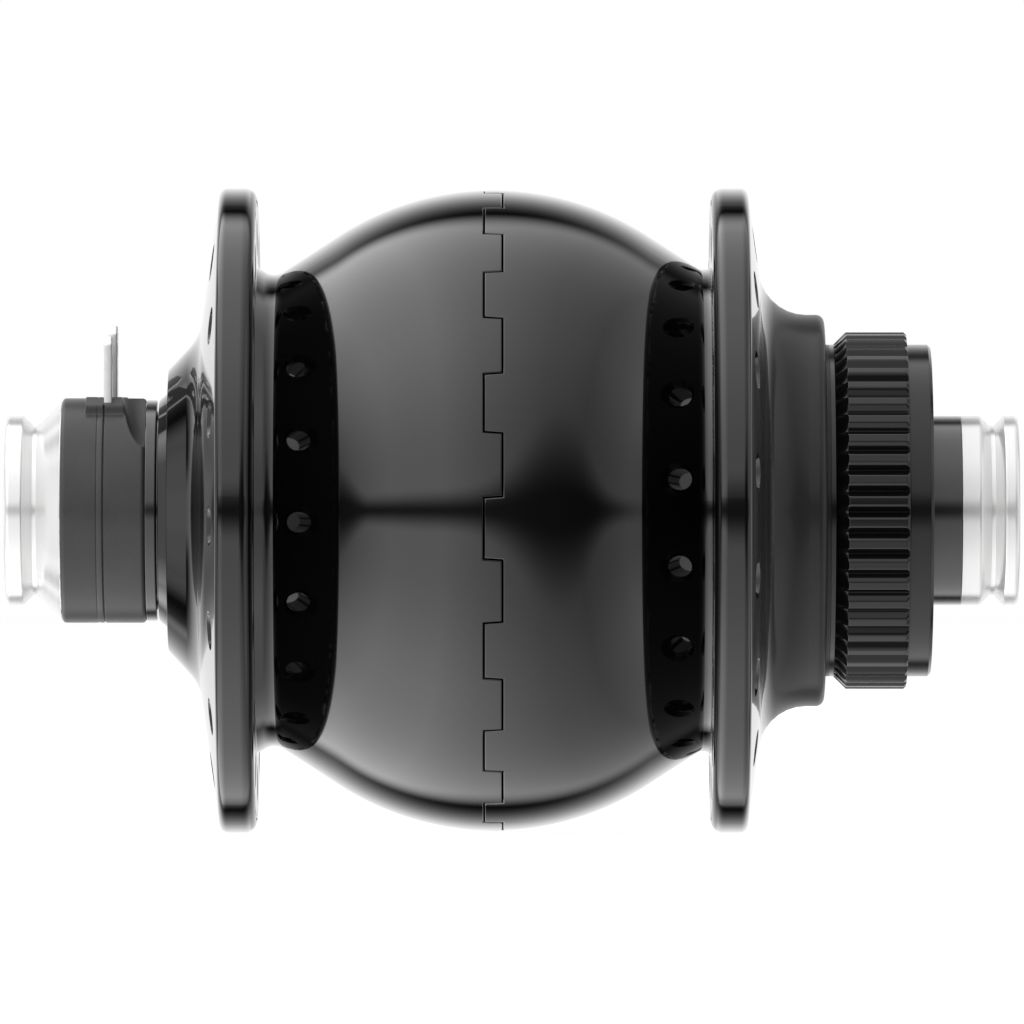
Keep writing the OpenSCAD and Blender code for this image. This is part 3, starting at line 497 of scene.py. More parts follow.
@dataclass(frozen=True)
class Wound(Finish):
    """Enamelled wire in layers: ridges of one wire's width along the axle and outwards, with painted shade in
    the grooves between the wires.
    """

    wire: float = 0.45

    def paint(self, board: Board) -> dict[str, Value]:
        """Each ridge is a sine of the place over the wire's width; the colour follows it, darker in the grooves
        as painted shade and lighter on the crests.
        """
        at, x, y, z = board.place()
        step = math.pi / self.wire
        ridges_and_groove_shade = abs((y * step).sine()) * abs((x.norm(z) * step).sine())
        tone = board.noise(at, 0.8, 2.0, (0.3, 3.0, 0.3))
        return {
            # Painted shade: the colour darkens in the grooves between the wires and is lighter on their crests.
            "Base Color": self.shade(board, ridges_and_groove_shade * 0.6 + tone * 0.4, 0.35),
            "Roughness": self.roughness + (tone - 0.5) * 0.15,
            "Normal": board.bump(ridges_and_groove_shade, self.wire * 0.2),
        }


@dataclass(frozen=True)
class Plated(Finish):
    """Tin-plated sheet: drawn along its length, with soft bright patches."""

    draw_depth: float = 0.0015

    def paint(self, board: Board) -> dict[str, Value]:
        """The noise is stretched along the blade."""
        at = board.place()[0]
        drawn = board.noise(at, 4.0, 3.0, (5.0, 5.0, 0.4))
        patch = board.noise(at, 0.9, 2.0)
        return {
            "Base Color": self.shade(board, drawn * 0.5 + patch * 0.5, 0.08),
            "Roughness": self.roughness + (patch - 0.5) * 0.16,
            "Normal": board.bump(drawn, self.draw_depth),
        }


SHOULDER = Satin(from_y=24.2, fade=1.8, colour=grey(0.02), roughness=0.4, coat=0.18)
SPLINE = Satin(from_y=31.1, fade=0.3, colour=grey(0.002), roughness=0.24, coat=0.45)
FINISHES: tuple[Finish, ...] = (
    Anodised("black_anodised", grey(0.0012), 0.08, ior=1.24, coat=0.82, coat_roughness=0.035, haze=0.02,
             bare_y=(-25.2, 19.65), satin=(SHOULDER, SPLINE)),
    Anodised("satin_black", grey(0.01, 0.01), 0.2, ior=1.4, coat=0.7, coat_roughness=0.08, haze=0.06,
             mark_depth=0.0012, mark_pitch=0.12),
    TurnedMetal("bare_aluminium", grey(0.77, 0.002), 0.17, 0.48, spread=0.1),
    Grained("grey_plastic", grey(0.046, 0.002), 0.32, ior=1.36, spread=0.4),
    Plated("tinned_brass", grey(0.8, 0.004), 0.3, 0.5),
    TurnedMetal("axle_steel", grey(0.56, -0.015), 0.3, 1.0),
    TurnedMetal("bearing_steel", grey(0.64, -0.012), 0.16, 1.0, ring_depth=0.0005),
    Grained("soft_iron", grey(0.33, -0.02), 0.45, 0.9, grain=3.0, grain_depth=0.008),
    Grained("magnet", grey(0.24, -0.01), 0.35, 0.8, grain=2.0, grain_depth=0.004),
    Wound("copper", (0.62, 0.27, 0.11, 1.0), 0.32, 0.9),
    Grained("nylon", (0.72, 0.66, 0.55, 1.0), 0.48, grain=7.0, grain_depth=0.005),
    Grained("rubber", grey(0.022), 0.62, grain=6.0, grain_depth=0.01, spread=0.3),
)


@dataclass(frozen=True)
class Ball:
    """Outside of the ball: an arc set off from the axle, with straight necks at both ends."""

    middle_y: float = -1.83
    curve_r: float = 28.1
    off: float = 3.55
    half_angle: float = math.radians(33)

    @property
    def neck_start(self) -> float:
        """Distance from the middle at which the arc passes into a neck."""
        return self.curve_r * math.sin(self.half_angle)

    def radius(self, y: Array) -> Array:
        """Radius at a place: the arc's off + sqrt(R^2 - d^2), or the neck that touches it at its end."""
        d = np.abs(y - self.middle_y)
        arc = self.off + np.sqrt(np.maximum(self.curve_r**2 - d**2, 0.0))
        neck = self.off + self.curve_r / math.cos(self.half_angle) - d * math.tan(self.half_angle)
        return np.where(d < self.neck_start, arc, neck)

    def arc(self, y_from: float, side: int, count: int = 20) -> Array:
        """Section from a place to the start of a neck, evenly by angle."""
        start = math.asin((y_from - self.middle_y) / self.curve_r)
        t = np.linspace(start, side * self.half_angle, count)
        return np.stack([self.off + self.curve_r * np.cos(t), self.middle_y + self.curve_r * np.sin(t)], axis=1)

    def straighten(self, mesh: bpy.types.Mesh) -> None:
        """Gives points on the arc its own normals, so that reflections run straight past the seam.

        The normal of a turned surface r(y) is (cos a, -r'(y), sin a), made one long.

        Args:
            mesh: mesh of a half, in metres.
        """
        at = np.empty(3 * len(mesh.vertices))
        mesh.vertices.foreach_get("co", at)
        x, y, z = at.reshape(-1, 3).T / MM
        r = np.hypot(x, z)
        d = y - self.middle_y
        on = (np.abs(r - self.radius(y)) < MERGE_MM) & (np.abs(d) < self.neck_start)
        slope = -d / np.sqrt(np.maximum(self.curve_r**2 - d**2, 1.0))
        normal = np.stack([x / r, -slope, z / r], axis=1)
        normal /= np.linalg.norm(normal, axis=1, keepdims=True)
        mesh.normals_split_custom_set_from_vertices(np.where(on[:, None], normal, 0.0).tolist())


@dataclass(frozen=True)
class Seam:
    """Toothed joint round the ball, between the two halves of the shell."""

    teeth: int = 16
    turn: float = math.radians(-8.1)
    low_y: float = -2.805
    high_y: float = -0.855
    lean: float = math.radians(4)
    pitch_r: float = 31.65
    edge_r: float = 0.13

    def half_angle(self, y: float, gap: float) -> float:
        """Half width of a left tooth at a place, as an angle: a quarter pitch, less the lean, and the gap."""
        quarter = math.pi * self.pitch_r / self.teeth / 2
        return (quarter + gap - math.tan(self.lean) * (y - (self.low_y + self.high_y) / 2)) / self.pitch_r


@dataclass(frozen=True)
class SpokeFlange:
    """Flange with a ring of countersunk spoke holes; its two faces lean from the rim inwards."""

    outer_y: float
    inner_y: float
    turn: float
    count: int = 16
    rim_r: float = 31.85
    rim_round: float = 0.8
    inner_round: float = 1.2
    circle_r: float = 27.0
    hole_r: float = 1.3
    sink_r: float = 1.9
    zone_low: float = 24.5
    zone_high: float = 30.7
    outer_draft: float = math.radians(8)
    inner_draft: float = math.radians(0.5)

    @property
    def way(self) -> int:
        """Direction along the axle from the outer face to the inner one."""
        return 1 if self.inner_y > self.outer_y else -1

    def outer_at(self, r: Array | float) -> Array | float:
        """Place of the outer face at a radius."""
        return self.outer_y - self.way * (self.rim_r - r) * math.tan(self.outer_draft)

    def inner_at(self, r: Array | float) -> Array | float:
        """Place of the inner face at a radius."""
        return self.inner_y + self.way * (self.rim_r - r) * math.tan(self.inner_draft)

    def columns(self, marks: Array, steps: int = 15) -> Array:
        """Angles of one pitch from the middle between two holes, even but for the marked ones.

        Args:
            marks: angles that must be among them, at any pitch.
            steps: number of even angles.

        Returns:
            The angles in order, without the next pitch's first.
        """
        pitch = 2 * math.pi / self.count
        even = np.arange(steps) * pitch / steps
        start = self.turn - pitch / 2
        marks = np.sort((marks - start) % pitch)
        clear = np.abs(even[:, None] - marks).min(axis=1) > pitch / steps * 0.35
        clear[0] = True
        return start + np.sort(np.concatenate([even[clear], marks]))

    def around(self, columns: Array) -> Array:
        """Angles of all pitches."""
        return (columns + np.arange(self.count)[:, None] * 2 * math.pi / self.count).ravel()

    def rim(self) -> Array:
        """Section over the rim, from the outer face's zone to the inner face's."""
        return rounded([
            (self.zone_high, self.outer_at(self.zone_high)), (self.rim_r, self.outer_y, self.rim_round),
            (self.rim_r, self.inner_y, self.inner_round), (self.zone_high, self.inner_at(self.zone_high)),
        ], closed=False, steps=8)

    def pierce(self, surface: Surface, columns: Array, side_steps: int = 10) -> None:
        """Adds both faces between the zone's radii, with their holes.

        Round each hole lies one sheet: from the edge of the hole's own sector, in straight lines to a circle
        round the hole, down its sink, through it, and out to the sector's edge on the other face.

        Args:
            surface: surface that the sheets go to.
            columns: angles of one pitch.
            side_steps: pieces of a sector's straight sides.
        """
        pitch = 2 * math.pi / self.count
        a = np.append(columns, columns[0] + pitch) - self.turn
        side = np.linspace(self.zone_high, self.zone_low, side_steps + 1)
        even, level = 0 * a[:-1], 0 * side[:-1]
        r = np.concatenate([even + self.zone_high, side[:-1], even + self.zone_low, side[::-1][:-1]])
        a = np.concatenate([a[:-1], level + a[-1], a[::-1][:-1], level + a[0]])
        u, v = r * np.cos(a) - self.circle_r, r * np.sin(a)
        phi = np.arctan2(v, u)
        ring_r = self.sink_r + 0.4
        depth = self.sink_r - self.hole_r
        bore = rounded([(ring_r, 0.0), (self.sink_r, 0.0, 0.12), (self.hole_r, depth, 0.2),
                        (self.hole_r, 2.2 * depth)], closed=False, steps=4, guard=0.03)
        share = np.array([1.0, 0.8, 0.6, 0.42, 0.26, 0.12, 0.04])[:, None]
        face_u = ring_r * np.cos(phi) * (1 - share) + u * share
        face_v = ring_r * np.sin(phi) * (1 - share) + v * share
        rows_u = np.concatenate([face_u, bore[:, :1] * np.cos(phi)]) + self.circle_r
        rows_v = np.concatenate([face_v, bore[:, :1] * np.sin(phi)])
        sunk = np.concatenate([0 * share, bore[:, 1:]])
        at_r = np.hypot(rows_u, rows_v)
        outer, inner = self.outer_at(at_r) + self.way * sunk, self.inner_at(at_r) - self.way * sunk
        at_a = np.arctan2(rows_v, rows_u) + self.turn
        sheets = ((at_r, at_r), (outer, inner), (at_a, at_a))
        r, y, a = (np.concatenate([one, two[::-1]]) for one, two in sheets)
        for k in range(self.count):
            surface.add(swept(r, y, a + k * pitch))


@dataclass(frozen=True)
class ShellHalf:
    """One half of the ball-shaped shell: flange, neck, its side of the seam and its seats inside."""

    name: str
    flange: SpokeFlange
    tooth_y: float
    notch_y: float
    seam_gap: float
    base_y: float
    wall_r: float
    valley: tuple[Corner, ...]
    outside: tuple[Corner, ...]
    inside: tuple[Corner, ...]
    ball: Ball = field(default_factory=Ball)
    seam: Seam = field(default_factory=Seam)
    dip_steps: int = 8
    seen_steps: int = 7
    hidden_steps: int = 2

    @property
    def side(self) -> int:
        """Side of the ball on which the flange is."""
        return -self.flange.way

    def marks(self) -> Array:
        """Angles of the corners of one tooth, at its tip and at its root."""
        tip = self.seam.half_angle(self.tooth_y, self.seam_gap)
        root = self.seam.half_angle(self.notch_y, self.seam_gap)
        return self.seam.turn + np.array([-root, -tip, tip, root])

    def edge(self, angles: Array) -> tuple[Array, Array, Array]:
        """Rows from the foot of the seam's wall over its rounded edge to the plain ball.

        The edge runs along a left tooth's tip, down its flank and along the notch. A row of the rounding lies
        inside that line by e (1 - cos t) along its mitred normal, and lower than the ball by e (1 - sin t).

        Args:
            angles: angles of all columns.

        Returns:
            Radius, place and angle of the points, rows by columns.
        """
        pitch = 2 * math.pi / self.seam.teeth
        off = np.abs((angles - self.seam.turn + pitch / 2) % pitch - pitch / 2)
        split = (self.seam.half_angle(self.tooth_y, self.seam_gap)
                 + self.seam.half_angle(self.notch_y, self.seam_gap)) / 2
        y = np.where(off < split, self.tooth_y, self.notch_y)
        s = angles * self.seam.pitch_r
        ahead = np.roll(s, -1)
        ahead[-1] += 2 * math.pi * self.seam.pitch_r
        run = np.stack([ahead - s, np.roll(y, -1) - y], axis=1)
        run /= np.linalg.norm(run, axis=1, keepdims=True)
        normal = np.stack([-run[:, 1], run[:, 0]], axis=1) * -self.side
        before = np.roll(normal, 1, axis=0)
        mitre = (normal + before) / (1 + (normal * before).sum(1, keepdims=True))
        t = np.linspace(0.0, math.pi / 2, 5)[:, None]
        e = self.seam.edge_r
        inset = np.concatenate([np.zeros((2, 1)), e * (1 - np.cos(t)), np.full((1, 1), e + 0.05)])
        drop = np.concatenate([np.full((2, 1), e), e * (1 - np.sin(t)), np.zeros((1, 1))])
        row_y = y - inset * mitre[:, 1]
        row_a = angles - inset * mitre[:, 0] / self.seam.pitch_r
        row_r = self.ball.radius(row_y) - drop
        row_r[0] = self.wall_r
        share = np.linspace(0.0, 1.0, 5)[1:, None]
        plain_y = row_y[-1] + share * (self.base_y - row_y[-1])
        plain_a = row_a[-1] + share * (angles - row_a[-1])
        plain_r = self.ball.radius(plain_y)
        return (np.concatenate([row_r, plain_r]), np.concatenate([row_y, plain_y]),
                np.concatenate([row_a, plain_a]))

    def build(self) -> bpy.types.Object:
        """Draws the half: outside and inside turned, the seam's edge, the rim and the pierced faces.

        Returns:
            The closed piece.
        """
        columns = self.flange.columns(self.marks())
        angles = self.flange.around(columns)
        arc = self.ball.arc(self.base_y, self.side)
        dip = rounded([tuple(arc[-1]), *self.valley], closed=False, steps=self.dip_steps)
        edge_r, edge_y, edge_a = self.edge(angles)
        surface = Surface()
        surface.add(swept(edge_r, edge_y, edge_a))
        surface.add(turned(np.concatenate([arc, dip[1:]]), angles))
        surface.add(turned(self.flange.rim(), angles))
        self.flange.pierce(surface, columns)
        seen = rounded([*self.outside, self.inside[0]], closed=False, steps=self.seen_steps)
        hidden = rounded([self.outside[-1], *self.inside], closed=False, steps=self.hidden_steps)
        body = np.concatenate([seen[:-1], hidden[1:]])
        surface.add(turned(body, angles))
        foot = np.stack([turned(body[-1:], angles)[0], swept(edge_r[0], edge_y[0], edge_a[0])])
        surface.add(foot)
        made = surface.build(self.name)
        self.ball.straighten(made.data)
        return made


def left_half() -> ShellHalf:
    """Left half: mouth for the dust ring, cone, flange, left bearing's seat and the seam's teeth."""
    flange = SpokeFlange(-28.775, -25.225, math.radians(3.2))
    low = flange.zone_low
    return ShellHalf(
        "left_shell_skin", flange, tooth_y=-0.995, notch_y=-2.805, seam_gap=0.0, base_y=-5.0, wall_r=28.54,
        valley=((22.998, -23.475, 1.6), (24.05, -25.157), (low, flange.inner_at(low))),
        outside=((low, flange.outer_at(low)), (17.219, -30.831, 5.0), (13.9, -33.925, 0.2), (11.7, -33.925),
                 (10.9, -34.825), (10.1, -34.825)),
        inside=((10.1, -33.225), (12.88, -33.225), (12.88, -30.5), (15.02, -30.5), (15.02, -23.5),
                (15.92, -23.5), (15.92, -22.48), (15.02, -22.48), (15.02, -21.08), (22.25, -21.08),
                (24.4, -13.35), (26.42, -13.35), (26.42, -6.17), (28.54, -6.17)),
    )


def right_half() -> ShellHalf:
    """Right half up to the undercut: seam notches, flange, shoulder and right bearing's seat."""
    flange = SpokeFlange(23.225, 19.675, math.radians(-8))
    low = flange.zone_low
    return ShellHalf(
        "right_shell_skin", flange, tooth_y=-0.855, notch_y=-2.665, seam_gap=0.14, base_y=1.4, wall_r=28.52,
        valley=((23.6, 18.887, 1.2), (24.05, 19.607), (low, flange.inner_at(low))),
        outside=((low, flange.outer_at(low)), (19.35, 24.982, 4.7), (19.35, 30.825, 0.8), (16.4, 30.825),
                 (16.4, 31.27), (12.88, 31.27)),
        inside=((12.88, 30.45), (15.02, 30.45), (15.02, 23.45), (15.92, 23.45), (15.92, 22.43), (15.02, 22.43),
                (15.02, 21.03), (19.91, 21.03), (24.4, 9.69), (26.42, 9.69), (26.42, -6.03), (28.52, -6.03),
                (28.52, -4.99), (27.46, -4.99), (27.46, -3.85), (28.52, -3.85)),
    )


@dataclass(frozen=True)
class RotorSeat:
    """Spline for the disc rotor, collar behind it and the lockring's thread inside."""

    teeth: int = 52
    turn: float = math.radians(0.5)
    gap: float = 1.45
    root_r: float = 16.93
    root_round: float = 0.03
    flank: float = math.radians(42)
    bore_r: float = 14.5
    bore_y: float = 32.95
    end_y: float = 41.325
    thread_pitch: float = 1.0
    thread_depth: float = 0.4
    thread_rows: int = 46
    lead_in: float = 0.25
    run_out: float = 0.6
    back_r: float = 12.88
    back_y: float = 31.271
    crest: tuple[Corner, ...] = (
        (16.4, 31.271), (16.4, 31.5), (16.4, 31.725, 0.1), (17.65, 32.975, 0.2), (17.65, 36.0),
        (17.65, 38.675, 0.1), (17.4, 38.925, 0.1), (16.4, 38.925, 0.12), (16.4, 39.1), (16.4, 39.2),
        (16.4, 39.3), (16.4, 39.37), (16.4, 39.41), (16.4, 39.45), (16.4, 41.025, 0.1), (16.1, 41.325, 0.1),
        (14.8, 41.325, 0.08),
    )

    def flutes(self) -> tuple[Array, Array, Array]:
        """Outside: a turned section with a straight, sloped gap cut between every two teeth.

        A column stands at a sideways distance s from a gap's middle, at the angle asin(s / r). The gap's
        flanks are the two arms of root + (sqrt(s^2 + q^2) - q) / tan(flank), with q for the round root.

        Returns:
            Radius, place and angle, rows by columns.
        """
        section = rounded(self.crest, closed=False, steps=4, guard=0.04)
        top, y = section[:, :1], section[:, 1:]
        half = self.gap / 2
        across = half * np.array([0.0, 0.08, 0.16, 0.27, 0.42, 0.6, 0.8, 1.0])
        rise = (np.hypot(across, self.root_round) - self.root_round) / math.tan(self.flank)
        off = [0 * top + s for s in (*across, half + 0.06)]
        r = [np.minimum(top, self.root_r + q) for q in rise] + [top]
        a = [np.arcsin(s / q) for s, q in zip(off, r)]
        right = np.concatenate([*a, 0 * top + math.pi / self.teeth], axis=1)
        radius = np.concatenate([*r, top], axis=1)
        angle = np.concatenate([-right[:, :0:-1], right[:, :-1]], axis=1)
        radius = np.concatenate([radius[:, :0:-1], radius[:, :-1]], axis=1)
        step = np.arange(self.teeth)[:, None] * 2 * math.pi / self.teeth + self.turn
        angle = (angle[:, None, :] + step).reshape(len(y), -1)
        return np.tile(radius, (1, self.teeth)), y + 0 * angle, angle

    def thread(self, angles: Array) -> tuple[Array, Array, Array]:
        """Inside: a screw thread, r = bore + depth (1 - |2 f - 1|), with f the turn's share of the pitch.

        Args:
            angles: angles of the columns.

        Returns:
            Radius, place and angle, rows by columns.
        """
        start = self.end_y - self.lead_in
        y = np.linspace(start, self.bore_y, self.thread_rows)[:, None]
        share = (y / self.thread_pitch + angles / (2 * math.pi)) % 1.0
        inside = np.minimum(start - y, y - self.bore_y - self.run_out)
        depth = self.thread_depth * np.clip(inside / 0.4, 0.0, 1.0)
        return self.bore_r + depth * (1 - np.abs(2 * share - 1)), y + 0 * angles, angles + 0 * y

    def build(self) -> bpy.types.Object:
        """Draws the seat as one closed ring of rows: outside, thread and back wall."""
        r, y, a = self.flutes()
        thread_r, thread_y, thread_a = self.thread(a[-1])
        back = np.array([[self.back_r, self.bore_y], [self.back_r, self.back_y]])
        grid = np.concatenate([swept(r, y, a), swept(thread_r, thread_y, thread_a), turned(back, a[-1])])
        surface = Surface()
        surface.add(grid, wrap_rows=True)
        return surface.build("rotor_seat_skin", sharp_deg=40.0)


@dataclass(frozen=True)
class TurnedPart:
    """A plain turned piece, by the corners of its half section."""

    name: str
    node: str
    slot: str
    corners: tuple[Corner, ...]

    def build(self) -> bpy.types.Object:
        """Draws the piece on the axle."""
        piece = lathe(self.name, self.corners)
        return settle(piece, Body.AXLE_SET, self.slot, self.node)


TURNED_PARTS: tuple[TurnedPart, ...] = (
    TurnedPart("left_cap_skin", "left_end_cap", "bare_aluminium", (
        (6.6, -50.0), (9.35, -50.0, 0.5), (9.35, -48.3, 0.25), (8.35, -47.3, 0.12), (8.35, -46.9, 0.12),
        (10.75, -44.5, 0.02), (10.75, -44.425, 0.02), (7.18, -44.425), (7.18, -40.845), (6.1, -40.845),
        (6.1, -49.5))),
    TurnedPart("right_cap_skin", "right_end_cap", "bare_aluminium", (
        (6.6, 50.0), (9.35, 50.0, 0.5), (9.35, 48.6, 0.25), (8.35, 47.6, 0.12), (8.35, 47.2, 0.12),
        (9.35, 46.2, 0.5), (9.35, 44.325, 0.05), (7.18, 44.325), (7.18, 40.745), (6.1, 40.745), (6.1, 49.5))),
    TurnedPart("dust_ring_skin", "dust_ring", "satin_black", (
        (8.52, -36.125), (10.9, -36.125, 0.14), (10.9, -35.025, 0.14), (9.8, -35.025), (9.8, -30.5),
        (8.52, -30.5))),
    TurnedPart("spacer_skin", "right_spacer", "satin_black", (
        (8.52, 30.45), (9.35, 30.45), (9.35, 44.325), (8.52, 44.325))),
)


@dataclass(frozen=True)
class Blade:
    """Flat blade terminal with cut corners and a locking hole, standing on the axle's top."""

    name: str
    node: str
    middle_x: float
    y: float
    tip_z: float
    foot_z: float = 9.3
    width: float = 4.8
    thickness: float = 0.8
    cut: float = 0.8
    hole_r: float = 0.7
    edge_r: float = 0.16
    samples: int = 240

    def outline(self) -> Array:
        """Even points round the plate's outline, from its corners with the two upper ones cut."""
        w, top = self.width / 2, self.tip_z - self.foot_z
        loop = rounded([(-w, 0.0), (w, 0.0), (w, top - self.cut, 0.3), (w - self.cut, top, 0.3),
                        (self.cut - w, top, 0.3), (-w, top - self.cut, 0.3)])
        loop = np.concatenate([loop, loop[:1]])
        along = np.append(0.0, np.cumsum(np.linalg.norm(np.diff(loop, axis=0), axis=1)))
        at = np.linspace(0.0, along[-1], self.samples, endpoint=False)
        return np.stack([np.interp(at, along, loop[:, 0]), np.interp(at, along, loop[:, 1])], axis=1)

    def build(self) -> bpy.types.Object:
        """Draws the plate as rings: out from the hole, round the edge, back to the hole and through it.

        Returns:
            The closed piece, on its body.
        """
        loop = self.outline()
        along = np.roll(loop, -1, 0) - np.roll(loop, 1, 0)
        normal = np.stack([along[:, 1], -along[:, 0]], axis=1) / np.linalg.norm(along, axis=1, keepdims=True)
        eye = np.array([0.0, self.tip_z - self.foot_z - self.width / 2])
        way = loop - eye
        way /= np.linalg.norm(way, axis=1, keepdims=True)
        e, t = self.edge_r, np.linspace(0.0, np.pi / 2, 5)
        inset = np.concatenate([[e + 0.05], e * (1 - np.sin(t))])
        sunk = np.concatenate([[0.0], e * (1 - np.cos(t))])
        rim = loop - normal * inset[:, None, None]
        hole_r = self.hole_r + np.array([0.0, 0.0, 0.03, 0.1, 0.2])
        eye_ring = eye + way * hole_r[:, None, None]
        hole_sunk = np.array([0.3, 0.1, 0.03, 0.0, 0.0])
        share = np.array([0.2, 0.45, 0.7, 0.9])[:, None, None]
        plate = eye_ring[-1] + (rim[0] - eye_ring[-1]) * share
        half = np.concatenate([eye_ring, plate, rim])
        depth = np.concatenate([hole_sunk, np.zeros(len(share)), sunk])
        flat = np.concatenate([half, half[::-1]])
        y = np.concatenate([self.y + depth, (self.y + self.thickness - depth)[::-1]])
        grid = np.stack([self.middle_x + flat[..., 0], y[:, None] + 0 * flat[..., 0],
                         self.foot_z + flat[..., 1]], axis=-1)
        surface = Surface()
        surface.add(grid, wrap_rows=True)
        return settle(surface.build(self.name), Body.AXLE_SET, "tinned_brass", self.node)


@dataclass(frozen=True)
class TerminalBlock:
    """Grey moulded block in two halves: raised pad, thumb notch, sockets for the blades, mould line."""

    radius: float = 11.1
    bore_r: float = 8.52
    out_y: float = -44.425
    parting_y: float = -40.2
    in_y: float = -36.125
    edge_round: float = 0.4
    parting_chamfer: float = 0.12
    pad_top: float = 11.2
    pad_half: float = 5.8
    pad_from: float = -42.025
    pad_to: float = -38.025
    notch_depth: float = 1.45
    notch_len: float = 2.2
    notch_angle: float = math.radians(28)
    notch_lean: float = math.radians(6)
    mould_line_y: float = -40.85
    socket_clear: float = 0.1
    socket_depth: float = 0.1
    socket_soft: float = 0.07
    pad_soft: float = 0.06
    line_depth: float = 0.05
    crease: float = 0.05
    top_half: float = 1.2
    rows: int = 84
    blades: tuple[Blade, ...] = (
        Blade("front_blade", "front_terminal", 2.85, -40.225, 17.2),
        Blade("rear_blade", "rear_terminal", -2.85, -39.875, 18.3),
    )

    def angles(self) -> Array:
        """Angles from the top towards the front: fine near the top, coarse below."""
        near = np.radians(np.arange(-66.0, 66.0, 0.6))
        far = np.radians(np.arange(66.0, 294.0, 3.0))
        return np.concatenate([near, far])

    @staticmethod
    def soft(x: Array, width: float) -> Array:
        """Smooth step from 0 to 1 about x = 0."""
        return 0.5 + 0.5 * np.tanh(2 * x / width)

    def rise(self, y: Array, a: Array) -> Array:
        """What the surface stands above or below the round block, as a function of place and angle.

        The pad is flat on top and upright in front, r = min(top / cos a, half / |sin a|), with soft ends. The
        mould line is a shallow dip, and the sockets are soft-edged rectangles round the blades.

        Args:
            y: place along the axle.
            a: angle from the top.

        Returns:
            Height in millimetres.
        """
        flat = self.pad_top / np.maximum(np.cos(a), 0.3)
        front = self.pad_half / np.maximum(np.abs(np.sin(a)), 0.1)
        pad = np.maximum(np.minimum(flat, front) - self.radius, 0.0) * (np.cos(a) > 0.3)
        pad = pad * self.soft(y - self.pad_from, self.pad_soft) * self.soft(self.pad_to - y, self.pad_soft)
        dip = self.line_depth * np.exp(-(((y - self.mould_line_y) / self.line_depth) ** 2))
        height = pad - dip
        x = self.radius * np.sin(a)
        for blade in self.blades:
            beside = blade.width / 2 + self.socket_clear - np.abs(x - blade.middle_x)
            along = blade.thickness / 2 + self.socket_clear - np.abs(y - blade.y - blade.thickness / 2)
            socket = self.soft(beside, self.socket_soft) * self.soft(along, self.socket_soft)
            height = height - self.socket_depth * socket * (np.abs(a) < self.top_half)
        return height

    def scoop(self, r: Array, y: Array, a: Array) -> Array:
        """Cuts the thumb notch: a hollow cylinder that lies across the block, open towards its end.

        At a distance d before the end, the height over the notch's middle line is at most
        floor + l - sqrt(l^2 - d^2). Both surfaces meet in a soft crease.

        Args:
            r: radius of the block's surface.
            y: place along the axle.
            a: angle from the top.

        Returns:
            Radius after the cut.
        """
        turn = np.clip(a - self.notch_angle, -self.top_half, self.top_half)
        d = np.minimum(y - self.in_y - r * np.sin(turn) * math.tan(self.notch_lean), 0.0)
        bend = np.sqrt(np.clip(self.notch_len**2 - d**2, 0.0, None))
        cut = (self.radius - self.notch_depth + self.notch_len - bend) / np.cos(turn)
        return 0.5 * (r + cut - np.sqrt((r - cut) ** 2 + self.crease**2))

    def half(self, name: str, node: str, start: Sequence[Corner],
             end: Sequence[Corner]) -> bpy.types.Object:
        """One half: a turned section whose outside carries the pad, sockets and notch.

        Args:
            name: name of the piece.
            node: solid that it stands for.
            start: corners from the bore to the outside's left end.
            end: corners from the outside's right end to the bore.

        Returns:
            The closed piece, on its body.
        """
        low, high = start[-1][1] + self.edge_round + 0.1, end[0][1] - self.edge_round - 0.1
        rows = [(self.radius, float(y)) for y in np.linspace(low, high, self.rows)]
        section = rounded([*start, *rows, *end])
        a = self.angles()
        r, y = section[:, :1], section[:, 1:]
        share = np.clip((r - self.radius) / self.edge_round + 1.0, 0.0, 1.0)
        r = self.scoop(r + share * self.rise(y + 0 * a, a + 0 * y), y + 0 * a, a + 0 * y)
        surface = Surface()
        surface.add(swept(r, y, a - math.pi / 2), wrap_rows=True)
        return settle(surface.build(name, sharp_deg=50.0), Body.AXLE_SET, "grey_plastic", node)

    def build(self) -> list[bpy.types.Object]:
        """Draws both halves and their blades."""
        face_r = self.radius - self.parting_chamfer
        left_y, right_y = self.parting_y - self.parting_chamfer, self.parting_y + self.parting_chamfer
        outer = self.half(
            "block_outer_skin", "terminal_block_outer",
            ((self.bore_r, self.out_y), (self.radius, self.out_y, self.edge_round)),
            ((self.radius, left_y), (face_r, self.parting_y), (self.bore_r, self.parting_y)))
        inner = self.half(
            "block_inner_skin", "terminal_block_inner",
            ((self.bore_r, self.parting_y), (face_r, self.parting_y), (self.radius, right_y)),
            ((self.radius, self.in_y, self.edge_round), (self.bore_r, self.in_y)))
        return [outer, inner, *(blade.build() for blade in self.blades)]


PANEL_SPAN = 4400.0
PANEL_STOPS = tuple((place, grey(level)) for place, level in (
    (0.0, 0.3), (0.12, 0.5), (0.3, 0.86), (0.418, 0.86), (0.4795, 0.64), (0.577, 0.37), (0.659, 0.26),
    (0.818, 0.44)))


